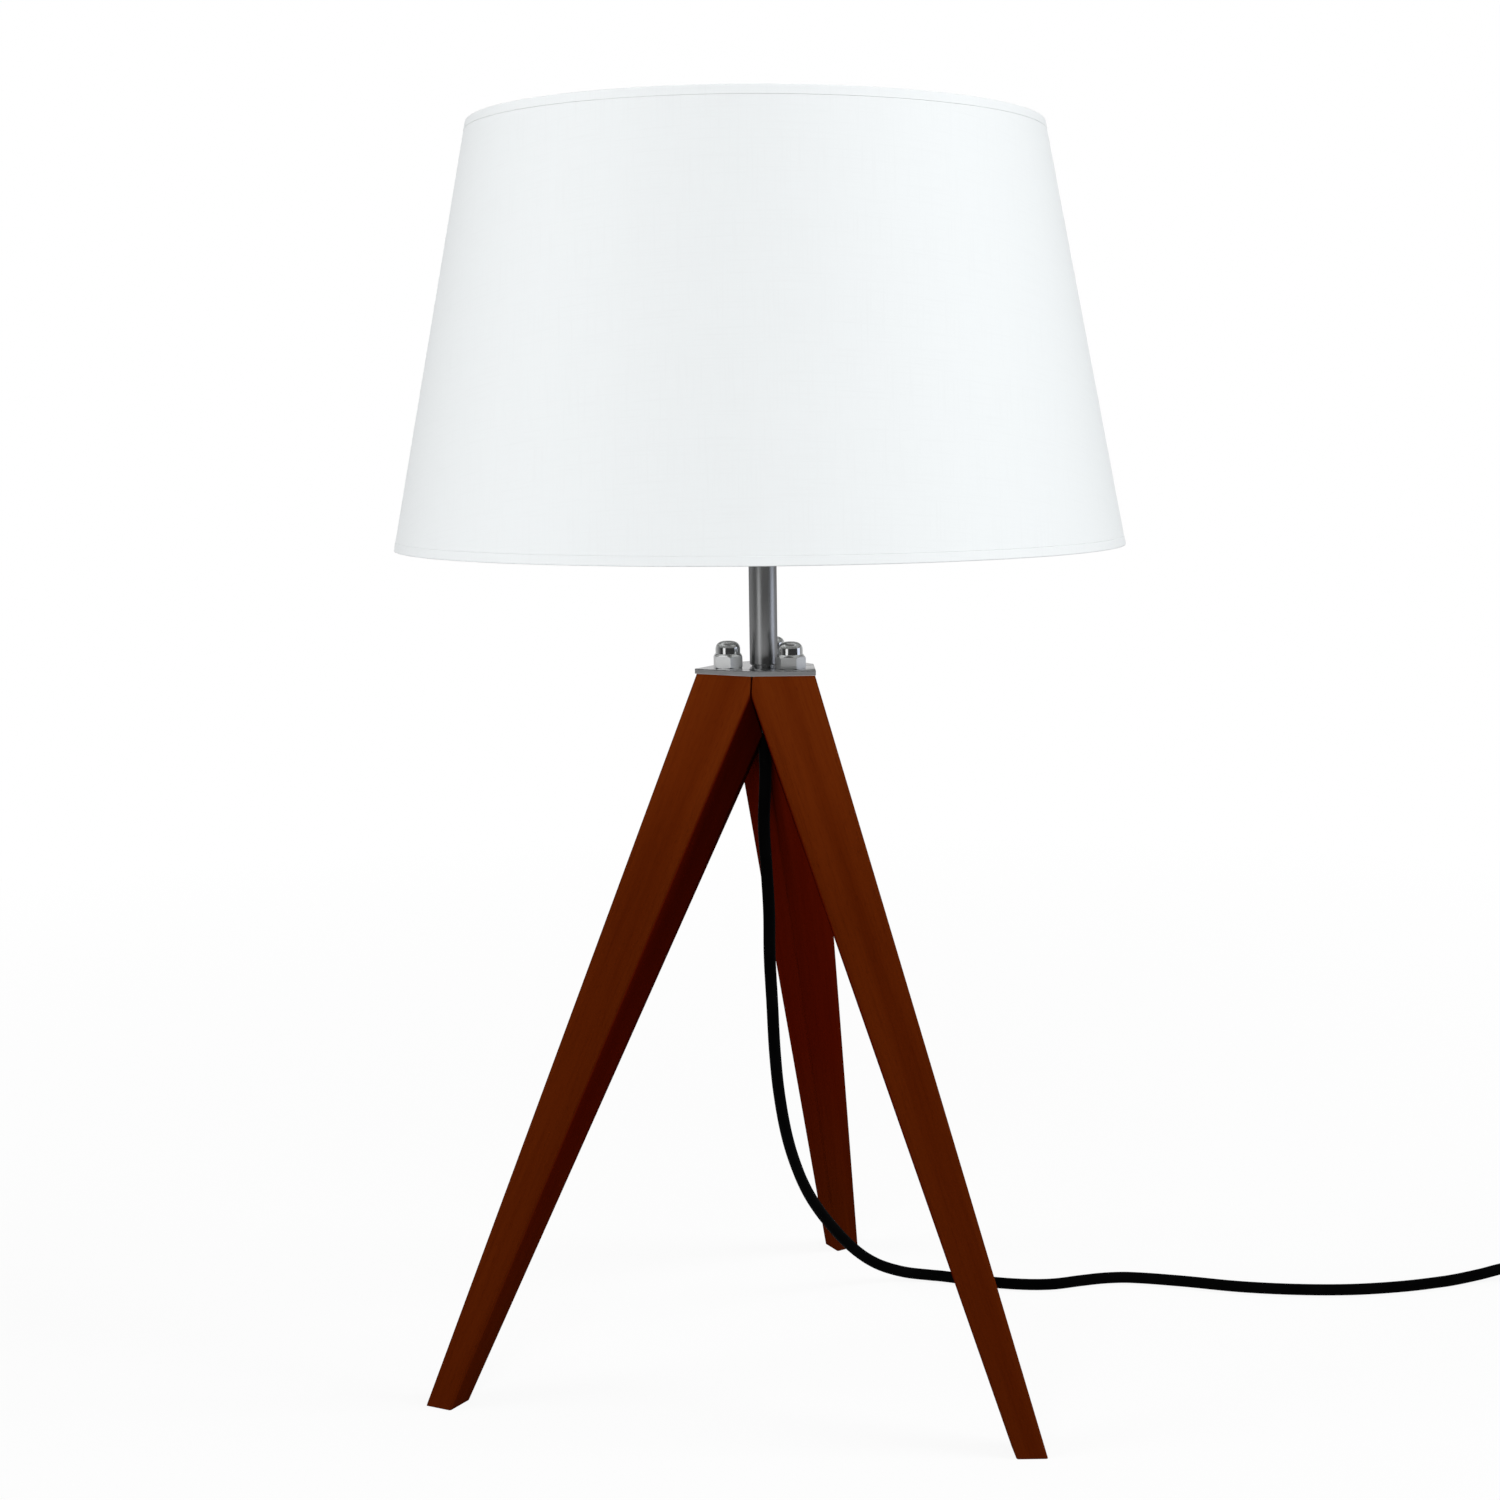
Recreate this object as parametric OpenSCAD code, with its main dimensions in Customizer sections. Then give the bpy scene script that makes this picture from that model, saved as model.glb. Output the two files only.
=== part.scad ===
// Tripod table lamp: three tapered square legs mitred together under a hexagonal
// plate, a short column, a lampholder and a conical drum shade on a wire carrier.
// Millimetres. The floor is z = 0, the column stands on the z axis and +Z is up.
// The side with the open mitre line between two legs faces -Y.

/* [Legs] */
// Height of the wood, from the floor to the underside of the plate
leg_h = 352; // [300:1:420]
// Distance of a leg's centre line from the lamp's axis at the top
leg_in = 9.4; // [8:0.2:11]
// Distance of a leg's centre line from the lamp's axis at the floor
leg_out = 165; // [140:1:190]
// Side of the square leg at its top
leg_top_w = 32.6; // [28:0.1:36]
// Side of the square leg at the floor
leg_foot_w = 14; // [10:0.1:18]
// Width taken off each long edge, measured from the sharp corner
leg_edge = 0.6; // [0.2:0.1:1.5]
// Open line between two mitred tops
mitre_gap = 0.8; // [0.4:0.1:1.5]
// Diameter of the bore round the washer and nut, which the three tops share
hub_bore_d = 24; // [20:0.5:26]
// Depth of that bore
hub_bore_depth = 8; // [7:0.5:12]
// Direction of the rear leg, turned from +X
leg_turn = 75.7; // [60:0.1:90]

/* [Plate and nuts] */
// Thickness of the hexagonal plate
plate_t = 2.5; // [2:0.1:5]
// How far the plate's sharp corners stand out past the legs
plate_lip = 0.5; // [0.2:0.1:4]
// Distance of each stud from the lamp's axis
stud_r = 18; // [17:0.1:20]
// Diameter of the studs in the legs
stud_d = 8; // [6:0.5:8]
// Depth of the studs in the wood
stud_depth = 40; // [25:1:60]
// Width of a cap nut across its flats
nut_af = 13; // [12:0.1:13]
// Height of a cap nut's hexagon
nut_hex_h = 6.7; // [5:0.1:8]
// Diameter of a cap nut's dome
nut_dome_d = 12; // [10:0.1:12]
// Height of a cap nut's dome
nut_dome_h = 6.3; // [5:0.1:8]

/* [Column] */
// Height of the column above the plate
column_h = 61.5; // [50:0.5:90]
// Outer diameter of the column
column_d = 13.6; // [13:0.1:18]
// Bore of the column
column_bore_d = 11; // [10.6:0.1:11.4]
// Height of the dark groove under the column's foot
column_groove_h = 0.8; // [0.5:0.1:2]
// Outer diameter of the threaded tube inside the column
pipe_d = 10; // [9:0.1:10]
// Bore of the threaded tube
pipe_bore_d = 7.4; // [6.8:0.1:7.6]
// Length of the threaded tube below the plate
pipe_tail = 14; // [12:0.5:24]
// Width of the tube's nut across its flats
pipe_nut_af = 14; // [13.5:0.1:16]
// Height of the tube's nut
pipe_nut_h = 4.5; // [3:0.5:6]
// Diameter of the washer between plate and nut
washer_d = 20; // [16:0.5:20]
// Thickness of the washer
washer_t = 1.5; // [1:0.1:2]

/* [Lampholder] */
// Height of the holder's lower cap
cap_h = 22; // [18:0.5:30]
// Height of the threaded neck at the bottom of the cap
neck_h = 8; // [6:0.5:10]
// Outer diameter of the neck
neck_d = 16; // [14:0.5:20]
// Outer diameter of the holder's body
body_d = 39; // [38:0.5:42]
// Height of the holder's body
body_h = 38; // [34:0.5:46]
// Height of the seat for the carrier above the bottom of the body
seat_h = 14; // [10:0.5:16]
// Diameter of the shoulder under the carrier
shoulder_d = 45; // [44:0.5:48]
// Thickness of the plastic walls
holder_wall = 2.2; // [1.6:0.1:2.6]
// Inner diameter of the screw shell, which takes the bulb
shell_bore_d = 27; // [26.4:0.1:27.4]
// Wall of the screw shell
shell_wall = 0.5; // [0.4:0.1:0.8]
// Height of the screw shell
shell_h = 23; // [18:0.5:25]
// Height of the ceramic core below its well
core_h = 8; // [6:0.5:10]
// Depth of the well under the screw shell
well_h = 5; // [4:0.5:6]
// Height of the core's collar round the screw shell
collar_h = 7; // [5:0.5:8]
// Outer diameter of the ring that holds the carrier down
ring_d = 52; // [48:0.5:52]
// Height of that ring
ring_h = 9; // [6:0.5:12]

/* [Shade] */
// Diameter of the lower rim
shade_bottom_d = 350; // [300:1:400]
// Diameter of the upper rim
shade_top_d = 272; // [240:1:320]
// Height of the shade
shade_h = 197; // [160:1:230]
// Height of the lower rim above the plate
shade_clear = 59; // [50:1:70]
// Thickness of the laminated skin
skin_t = 0.8; // [0.5:0.1:1.5]
// Thickness of the hem's tape
hem_t = 0.5; // [0.3:0.1:0.8]
// Height of the hem on the outside
hem_h = 4.2; // [4:0.1:8]
// Diameter of the wire in the two rings
wire_d = 3; // [3:0.1:4]
// Diameter of the wire in the carrier's arms
arm_d = 2.8; // [2.2:0.1:2.9]
// Outer diameter of the carrier's hub
hub_d = 56; // [56:0.5:60]
// Thickness of the carrier's hub
hub_t = 1.2; // [1:0.1:2]
// Distance from the axis at which an arm bends down to the rim
arm_bend_r = 118; // [100:1:130]
// Radius of that bend, on the wire's centre line
arm_bend = 8; // [6:0.5:12]
// Number of arms of the carrier
arm_count = 3; // [2:1:4]

/* [Cord] */
// Diameter of the mains lead
cord_d = 6; // [5.5:0.1:6.4]
// Length of the tapered grip that the lead leaves the lamp through
grip_l = 22; // [20:0.5:26]
// Largest diameter of the grip
grip_d = 15; // [13:0.5:18]
// Number of turns in the put-away coil
coil_turns = 4.25; // [3.25:1:5.25]
// Radius of the coil's innermost turn, on the lead's centre line
coil_in_r = 29; // [27:0.5:31]
// Distance between turns that lie side by side
coil_pitch = 6.7; // [6.6:0.1:7.2]
// Distance between the two layers of turns
coil_layer = 6.6; // [6.6:0.1:7.2]

/* [Switch and plug] */
// Length of the switch in the lead
switch_l = 62; // [56:1:70]
// Width of the switch
switch_w = 25; // [22:0.5:30]
// Height of the switch
switch_h = 15; // [14:0.5:18]
// Height of the lower shell, which is the height of the lead's entry
switch_low_h = 7; // [6:0.5:8]
// Radius of the switch's rounded ends
switch_round = 9; // [6:0.5:10]
// Length of the rocker's window
window_l = 15; // [13:0.5:18]
// Width of the rocker's window
window_w = 9; // [8:0.5:11]
// Angle between the rocker's two resting places
rocker_swing = 14; // [10:1:18]
// Diameter of the rocker's pivot
pivot_d = 2; // [1.6:0.1:2.4]
// Length of the plug's body
plug_l = 34; // [30:0.5:38]
// Width of the plug's body
plug_w = 34; // [30:0.5:36]
// Thickness of the plug's body
plug_t = 13.7; // [12:0.1:16]
// Length of the plug's tapered tail
tail_l = 24; // [20:0.5:30]
// Distance between the plug's two pins
pin_pitch = 18.6; // [17:0.1:19.6]
// Diameter of a pin
pin_d = 4; // [3.6:0.1:4.8]
// Free length of a pin
pin_l = 19; // [16:0.5:20]
// Length of a pin's insulated part
sleeve_l = 10; // [8:0.5:12]

/* [Fits] */
// Gap between pieces that are screwed, pressed or glued together
fit = 0.05; // [0.02:0.01:0.1]
// Gap beside a piece that turns
play = 0.3; // [0.2:0.05:0.5]
// Running clearance round the rocker's pivot, on the radius
run = 0.05; // [0.02:0.01:0.08]

/* [Hidden] */
$fn = 64;

wood = "#571b09";
metal = "#9b9b98";
bright = "#c9c9c9";
brass = "#b7a067";
ceramic = "#e6e3da";
white_plastic = "#e8e8e6";
white_cloth = "#ececea";
black = "#141414";
steel = "#8d8f91";

// Heights along the axis
plate_top = leg_h + plate_t;
column_top = plate_top + column_h;
body_z = column_top + cap_h;
seat_z = body_z + seat_h;
hub_z = seat_z + play / 2;
ring_z = hub_z + hub_t + play / 2;
shade_z = plate_top + shade_clear;
shade_top = shade_z + shade_h;
nut_z = leg_h - washer_t - pipe_nut_h;
pipe_low = leg_h - pipe_tail;
grip_low = pipe_low + 6 - grip_l;
shell_z = body_z + core_h + well_h;
stud_top = plate_top + nut_hex_h + nut_dome_h / 3;

// How far each cap nut stands turned: rear, left and right
NUT_TURNS = [15, 24, 36];

// A leg's lean, and the distance of an edge from the axis at a height
leg_lean = atan((leg_out - leg_in) / leg_h);
leg_l = leg_h / cos(leg_lean);
function edge_out(top_reach, foot_reach, z) =
    let (x0 = leg_in + top_reach * cos(leg_lean), z0 = leg_h + top_reach * sin(leg_lean),
        x1 = leg_out + foot_reach * cos(leg_lean), z1 = foot_reach * sin(leg_lean))
    x0 + (x1 - x0) * (z - z0) / (z1 - z0);
half_diagonal = sqrt(0.5);
leg_corner = edge_out(leg_top_w * half_diagonal - leg_edge, leg_foot_w * half_diagonal - leg_edge, leg_h);
plate_corner = leg_corner + leg_edge + plate_lip;
plate_waist = plate_corner * sin(45) / sin(75);

// The shade's outer radius at a height, and its wall's lean
shade_fall = (shade_bottom_d - shade_top_d) / 2 / shade_h;
shade_lean = atan(shade_fall);
wire_r = wire_d / 2;
function shade_r(z) = shade_bottom_d / 2 - shade_fall * (z - shade_z);
function skin_out(z) = shade_r(z) - hem_t;
function skin_in(z) = skin_out(z) - skin_t;
function wire_ring_r(z) = skin_in(z) - (wire_r + fit) / cos(shade_lean);
low_wire_z = shade_z + hem_t + fit + wire_r;
top_wire_z = shade_top - hem_t - fit - wire_r;

// Route of the lead from the grip to the switch
cord_r = cord_d / 2;
LEAD_ROUTE = [
    [0, 0, 322], [0, 0, 314], [0, 0, 298], [-1, 0, 276], [0, 1, 254], [1, 2, 232], [1, 3, 209],
    [2, 6, 184], [3, 11, 158], [5, 19, 133], [9, 31, 106], [15, 45, 82], [22, 58, 63],
    [32, 72, 44], [45, 86, 25], [58, 97, 12], [73, 102, 5], [89, 101, 3], [105, 95, 3],
    [123, 88, 3], [141, 84, 3], [155, 84, 3], [170, 88, 3], [184, 91, 3], [198, 91, 3],
    [225, 84, 3], [255, 74, 3], [285, 68, 3], [315, 66, 3], [345, 69, 3], [370, 75, 3],
    [390, 81, 4], [402, 83, 6], [411, 84, 7], [418, 84, 7], [425, 84, 7]
];
SWITCH_START = [425, 84];
COIL_RUN_IN = 45;
PLUG_RUN_OUT = 40;

function unit(v) = v / norm(v);
function ease(t) = let (s = max(0, min(1, t))) s * s * (3 - 2 * s);
function sum(v, i = 0) = i < len(v) ? v[i] + sum(v, i + 1) : 0;
function path_length(p) = sum([for (i = [1 : len(p) - 1]) norm(p[i] - p[i - 1])]);
function heading(p, i) = unit(p[min(i + 1, len(p) - 1)] - p[max(i - 1, 0)]);

// A smooth curve through hand-set points, two steps to each span
function hermite(a, b, da, db, t) =
    let (l = norm(b - a), t2 = t * t, t3 = t2 * t)
    (2 * t3 - 3 * t2 + 1) * a + (t3 - 2 * t2 + t) * l * da
        + (3 * t2 - 2 * t3) * b + (t3 - t2) * l * db;
function smooth(p, steps = 2) = [
    for (i = [0 : len(p) - 2], s = [0 : steps - 1])
        hermite(p[i], p[i + 1], heading(p, i), heading(p, i + 1), s / steps),
    p[len(p) - 1]
];
function above_floor(p) = [for (q = p) [q.x, q.y, max(q.z, cord_r)]];

// Round tube along a path: each ring's first direction is carried on from the ring before
function side_of(t) = unit(cross(t, abs(t.z) < 0.8 ? [0, 0, 1] : [0, 1, 0]));
function carried(n, t) = unit(n - (n * t) * t);
function sides_along(p) = [
    for (i = 0, n = side_of(heading(p, 0)); i < len(p);
        i = i + 1, n = carried(n, heading(p, min(i, len(p) - 1)))) n
];
module tube(path, r, sides) {
    rings = len(path);
    starts = sides_along(path);
    points = [
        for (i = [0 : rings - 1], k = [0 : sides - 1])
            let (n = starts[i], b = cross(heading(path, i), n), a = 360 * k / sides)
            path[i] + r * (cos(a) * n + sin(a) * b)
    ];
    walls = [
        for (i = [0 : rings - 2], k = [0 : sides - 1])
            let (a = i * sides + k, b = i * sides + (k + 1) % sides)
            each [[a, a + sides, b + sides], [a, b + sides, b]]
    ];
    last = (rings - 1) * sides;
    caps = [for (k = [1 : sides - 2]) each [[0, k, k + 1], [last, last + k + 1, last + k]]];
    polyhedron(points, concat(walls, caps));
}

// Coil: in along the lower layer, up over half a turn, and out along the upper one
COIL_STEPS = 24;
coil_mid = coil_turns / 2;
coil_start = [SWITCH_START.x + switch_l, SWITCH_START.y, switch_low_h];
function coil_r(t) = coil_in_r + coil_pitch * sqrt(pow(t - coil_mid, 2) + 0.01);
coil_centre = [coil_start.x + COIL_RUN_IN, coil_start.y + coil_r(0)];
function coil_z(t) = cord_r + coil_layer * ease(2 * (t - coil_mid) + 0.5);
function coil_point(t) = [
    coil_centre.x + coil_r(t) * cos(360 * t - 90),
    coil_centre.y + coil_r(t) * sin(360 * t - 90),
    coil_z(t)
];
coil_end = coil_point(coil_turns);
plug_axis_z = plug_t / 2;
plug_start = [coil_end.x, coil_end.y + PLUG_RUN_OUT, plug_axis_z];
RUN_IN = [0, 6, 12, 18, 24, 30, 37];
RUN_OUT = [6, 12, 18, 24, 30, 34, 40];
coil_path = [
    for (s = RUN_IN) [coil_start.x + s, coil_start.y,
        cord_r + (switch_low_h - cord_r) * (1 - ease((s - cord_d) / 24))],
    for (i = [0 : coil_turns * COIL_STEPS]) coil_point(i / COIL_STEPS),
    for (s = RUN_OUT) [coil_end.x, coil_end.y + s,
        plug_axis_z + (coil_end.z - plug_axis_z) * (1 - ease((s - cord_d) / 28))]
];
function self_gap(p, apart) = min([
    for (i = [0 : len(p) - 1 - apart], j = [i + apart : len(p) - 1]) norm(p[i] - p[j])
]) - cord_d;
lead_path = above_floor(smooth(LEAD_ROUTE));
echo(lead_length = path_length(lead_path), coil_length = path_length(coil_path));
echo(coil_least_gap = self_gap(coil_path, 8));

// Legs
module tapered_bar(w0, w1, l) {
    over = 30;
    step = (w1 - w0) / l * over;
    module side() rotate([90, 0, 0])
        linear_extrude(4 * max(w0, w1), center = true)
            polygon([[-(w0 - step) / 2, -over], [(w0 - step) / 2, -over],
                [(w1 + step) / 2, l + over], [-(w1 + step) / 2, l + over]]);
    intersection() {
        side();
        rotate([0, 0, 90]) side();
    }
}

module leaning_square() {
    eased = 2 * half_diagonal;
    translate([leg_out, 0, 0]) rotate([0, -leg_lean, 0]) intersection() {
        rotate([0, 0, 45]) tapered_bar(leg_foot_w, leg_top_w, leg_l);
        tapered_bar(leg_foot_w * eased - 2 * leg_edge, leg_top_w * eased - 2 * leg_edge, leg_l);
    }
}

module mitre_wedge() {
    reach = 2 * leg_out;
    tip = mitre_gap / 2 / sin(60);
    linear_extrude(leg_h)
        polygon([[tip, 0], [tip + reach, -reach * tan(60)], [tip + reach, reach * tan(60)]]);
}

// Room in the joined tops for the lead, its grip, and the washer and nut above it
module hub_bore() {
    lead = cord_r + 0.6;
    end = cord_r + 1.6;
    thick = grip_d / 2 + 0.8;
    neck_z = grip_low + grip_l - 10;
    rotate_extrude() polygon([
        [0, leg_h - 80], [lead, leg_h - 80], [lead, grip_low - 1], [end, grip_low - 1],
        [thick - 2, neck_z], [thick, neck_z], [thick, leg_h - hub_bore_depth],
        [hub_bore_d / 2, leg_h - hub_bore_depth], [hub_bore_d / 2, leg_h + 1], [0, leg_h + 1]
    ]);
}

module leg(turn) color(wood) rotate([0, 0, turn]) difference() {
    intersection() {
        leaning_square();
        mitre_wedge();
    }
    hub_bore();
    translate([stud_r, 0, leg_h - stud_depth - 2]) cylinder(d = stud_d + 2 * fit, h = stud_depth + 3);
}
module leg_rear() leg(leg_turn);
module leg_right() leg(leg_turn - 120);
module leg_left() leg(leg_turn + 120);

module at_stud(k) rotate([0, 0, leg_turn + 120 * k]) translate([stud_r, 0, 0]) children();
module at_studs() for (k = [0 : 2]) at_stud(k) children();

// Plate, studs and nuts
module top_plate() color(metal) difference() {
    translate([0, 0, leg_h]) linear_extrude(plate_t) polygon([
        for (k = [0 : 5])
            let (r = k % 2 == 0 ? plate_corner : plate_waist, a = leg_turn + 60 * k)
            [r * cos(a), r * sin(a)]
    ]);
    translate([0, 0, leg_h - 1]) cylinder(d = pipe_d + 0.4, h = plate_t + 2);
    at_studs() translate([0, 0, leg_h - 1]) cylinder(d = stud_d + 0.4, h = plate_t + 2);
}

module leg_studs() color(steel)
    at_studs() translate([0, 0, leg_h - stud_depth]) cylinder(d = stud_d, h = stud_top - leg_h + stud_depth);

module cap_nut() {
    corner_r = nut_af / 2 / cos(30);
    chamfer = corner_r - nut_af / 2;
    bore_r = stud_d / 2 + fit;
    dome_r = nut_dome_d / 2;
    dome_wall = nut_dome_h * 0.4;
    rise = nut_dome_h - dome_wall;
    round_r = (dome_r * dome_r + rise * rise) / rise / 2;
    difference() {
        union() {
            intersection() {
                cylinder(r = corner_r, h = nut_hex_h, $fn = 6);
                rotate_extrude() polygon([[0, 0], [nut_af / 2, 0], [corner_r, chamfer * 0.6],
                    [corner_r, nut_hex_h - chamfer * 0.6], [nut_af / 2, nut_hex_h], [0, nut_hex_h]]);
            }
            translate([0, 0, nut_hex_h - 0.5]) cylinder(r = dome_r, h = dome_wall + 0.3);
            translate([0, 0, nut_hex_h]) intersection() {
                translate([0, 0, nut_dome_h - round_r]) sphere(r = round_r);
                translate([0, 0, dome_wall / 2]) cylinder(r = dome_r, h = nut_dome_h);
            }
        }
        translate([0, 0, -1]) cylinder(r = bore_r, h = 1 + nut_hex_h + nut_dome_h / 3 + 0.3);
    }
}
module cap_nuts() color(bright) for (k = [0 : 2])
    at_stud(k) translate([0, 0, plate_top]) rotate([0, 0, NUT_TURNS[k]]) cap_nut();

// Column and what holds it
module column_tube() color(metal) {
    r = column_d / 2;
    groove = 1;
    translate([0, 0, plate_top]) rotate_extrude() polygon([
        [column_bore_d / 2, 0], [r - groove, 0], [r - groove, column_groove_h],
        [r - 0.4, column_groove_h], [r, column_groove_h + 0.4], [r, column_h], [column_bore_d / 2, column_h]
    ]);
}

module ring_of(outer_d, inner_d, h) difference() {
    cylinder(d = outer_d, h = h);
    translate([0, 0, -1]) cylinder(d = inner_d, h = h + 2);
}

pipe_top = column_top + neck_h + 2;
module threaded_tube() color(steel)
    translate([0, 0, pipe_low]) ring_of(pipe_d, pipe_bore_d, pipe_top - pipe_low);

module tube_washer() color(steel)
    translate([0, 0, leg_h - washer_t]) ring_of(washer_d, pipe_d + 0.4, washer_t);

module tube_nut() color(steel) translate([0, 0, nut_z]) difference() {
    cylinder(d = pipe_nut_af / cos(30), h = pipe_nut_h, $fn = 6);
    translate([0, 0, -1]) cylinder(d = pipe_d + 2 * fit, h = pipe_nut_h + 2);
}

// Tapered grip screwed on the lower end of the threaded tube
module cord_grip() color(black) {
    r = grip_d / 2;
    lead = cord_r + fit;
    socket = pipe_d / 2 + fit;
    end_r = cord_r + 1;
    translate([0, 0, grip_low]) rotate_extrude() polygon([
        [lead, 0], [end_r, 0], [r - 2, grip_l - 9], [r, grip_l - 8], [r, grip_l - 0.6], [r - 0.6, grip_l],
        [socket, grip_l], [socket, grip_l - 6 - fit], [lead, grip_l - 6 - fit]
    ]);
}

module inner_lead() color(black)
    translate([0, 0, grip_low]) cylinder(r = cord_r, h = pipe_top + 4 - grip_low);

// Lampholder
module holder_cap() color(white_plastic) {
    n = neck_d / 2;
    r = body_d / 2;
    bore = pipe_d / 2 + fit;
    translate([0, 0, column_top]) rotate_extrude() polygon(concat(
        [[bore, 0], [n - 0.5, 0], [n, 0.5], [n, neck_h - 1]],
        [for (a = [0 : 15 : 90]) [n + (r - n) * sin(a), cap_h - 4 - (cap_h - neck_h - 5) * cos(a)]],
        [[r, cap_h], [r - holder_wall, cap_h]],
        [for (a = [90 : -15 : 0]) [n + (r - holder_wall - n) * sin(a) - 1,
            cap_h - 3 - (cap_h - neck_h - 5) * cos(a) + 0.6]],
        [[bore, neck_h + 2 - fit]]
    ));
}

module holder_body() color(white_plastic) {
    r = body_d / 2;
    i = r - holder_wall;
    s = shoulder_d / 2;
    mouth = shell_bore_d / 2 + shell_wall + 0.6;
    difference() {
        translate([0, 0, body_z]) rotate_extrude() polygon([
            [i, 0], [r, 0], [r, seat_h - 4], [s - 1, seat_h - 3], [s, seat_h - 2], [s, seat_h],
            [r, seat_h], [r, body_h - 1], [r - 1, body_h], [mouth, body_h],
            [mouth, body_h - 2], [i, body_h - 3]
        ]);
        for (k = [0 : 5]) rotate([0, 0, 60 * k])
            translate([i - 2, -1.5, body_z + seat_h + ring_h + 3]) cube([holder_wall + 4, 3, 5]);
    }
}

// The core has a well for the contact and a ledge that carries the screw shell
module holder_core() color(ceramic) difference() {
    outer = body_d / 2 - holder_wall - fit;
    shell_out = shell_bore_d / 2 + shell_wall + fit;
    well = shell_bore_d / 2 - 1.5;
    translate([0, 0, body_z]) rotate_extrude() polygon([
        [0, 0], [outer, 0], [outer, core_h + well_h + collar_h], [shell_out, core_h + well_h + collar_h],
        [shell_out, core_h + well_h], [well, core_h + well_h], [well, core_h], [0, core_h]
    ]);
    for (x = [-9, 0, 9]) translate([x, 0, body_z - 1]) cylinder(d = 3 + 2 * fit, h = core_h + 2);
}

module screw_shell() color(brass) translate([0, 0, shell_z])
    ring_of(shell_bore_d + 2 * shell_wall, shell_bore_d, shell_h);

// Folded spring tongue on a rivet through the core
module centre_contact() color(brass) translate([0, 0, body_z + core_h]) {
    sheet = 0.5;
    translate([-7, -2.5, 0]) cube([14, 5, sheet]);
    translate([-7, -2.5, 0]) cube([sheet, 5, 3]);
    translate([-7, -2.5, 3 - sheet]) cube([10, 5, sheet]);
    translate([0, 0, -core_h]) cylinder(d = 3, h = core_h + 0.2);
}

// Angle strip on the core's collar that touches the screw shell from outside
module side_contact() color(brass) {
    sheet = 0.5;
    translate([shell_bore_d / 2 + shell_wall + fit, -2, shell_z + collar_h]) {
        cube([sheet, 4, 9]);
        cube([2.4, 4, sheet]);
    }
}

module shade_ring() color(white_plastic) translate([0, 0, ring_z]) difference() {
    rotate_extrude() polygon([
        [body_d / 2 + fit, 0], [ring_d / 2 - 0.6, 0], [ring_d / 2, 0.6], [ring_d / 2, ring_h * 0.55],
        [ring_d / 2 - 2.5, ring_h], [body_d / 2 + fit, ring_h]
    ]);
    for (k = [0 : 15]) rotate([0, 0, 22.5 * k])
        translate([ring_d / 2 + 0.6, 0, -1]) cylinder(r = 1.4, h = ring_h + 2, $fn = 24);
}

// Shade: carrier of hub, arms and lower ring, then upper ring, skin and hems
module wire_ring(r, z) translate([0, 0, z]) rotate_extrude($fn = 96)
    translate([r, 0]) circle(d = wire_d, $fn = 24);

// An arm leaves the hub's rim level, bends down over a round corner and ends on the lower ring
module arm() {
    z = hub_z + hub_t / 2;
    ring_r = wire_ring_r(low_wire_z);
    drop = atan((z - low_wire_z) / (ring_r - arm_bend_r));
    end = [ring_r - wire_r * cos(drop), 0, low_wire_z + wire_r * sin(drop)];
    bend_x = arm_bend_r - arm_bend * tan(drop / 2);
    path = [
        [hub_d / 2, 0, z],
        for (a = [0 : 0.25 : 1]) [bend_x + arm_bend * sin(a * drop), 0, z - arm_bend * (1 - cos(a * drop))],
        end
    ];
    tube(path, arm_d / 2, 10);
}

module shade_hub() color(white_plastic) translate([0, 0, hub_z]) ring_of(hub_d, body_d + 2 * play, hub_t);

module shade_arms() color(white_plastic)
    for (k = [0 : arm_count - 1]) rotate([0, 0, 60 + 360 / arm_count * k]) arm();

module shade_low_ring() color(white_plastic) wire_ring(wire_ring_r(low_wire_z), low_wire_z);

module shade_top_ring() color(white_plastic) wire_ring(wire_ring_r(top_wire_z), top_wire_z);

module shade_skin() color(white_cloth) {
    low = shade_z + hem_t + fit;
    high = shade_top - hem_t - fit;
    rotate_extrude($fn = 180) polygon([
        [skin_out(low), low], [skin_out(high), high], [skin_in(high), high], [skin_in(low), low]
    ]);
}

// Tape folded round a rim: up on the outside, under the skin's edge and round the wire
module hem(rim_z, way) {
    wire_z = rim_z + way * (hem_t + fit + wire_r);
    inner = wire_ring_r(wire_z) - wire_r - fit;
    fold_z = rim_z + way * hem_t;
    lip_z = rim_z + way * (hem_t + wire_r * 0.5);
    edge_z = rim_z + way * hem_h;
    rotate_extrude($fn = 180) polygon([
        [shade_r(rim_z), rim_z], [shade_r(edge_z), edge_z], [skin_out(edge_z) + fit, edge_z],
        [skin_out(fold_z) + fit, fold_z], [inner, fold_z], [inner, lip_z],
        [inner - hem_t, lip_z], [inner - hem_t, rim_z]
    ]);
}
module shade_hem_bottom() color(white_cloth) hem(shade_z, 1);
module shade_hem_top() color(white_cloth) hem(shade_top, -1);

// Lead, switch, coil and plug
module cord_lead() color(black) tube(lead_path, cord_r, 10);
module cord_coil() color(black) tube(coil_path, cord_r, 6);

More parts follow.
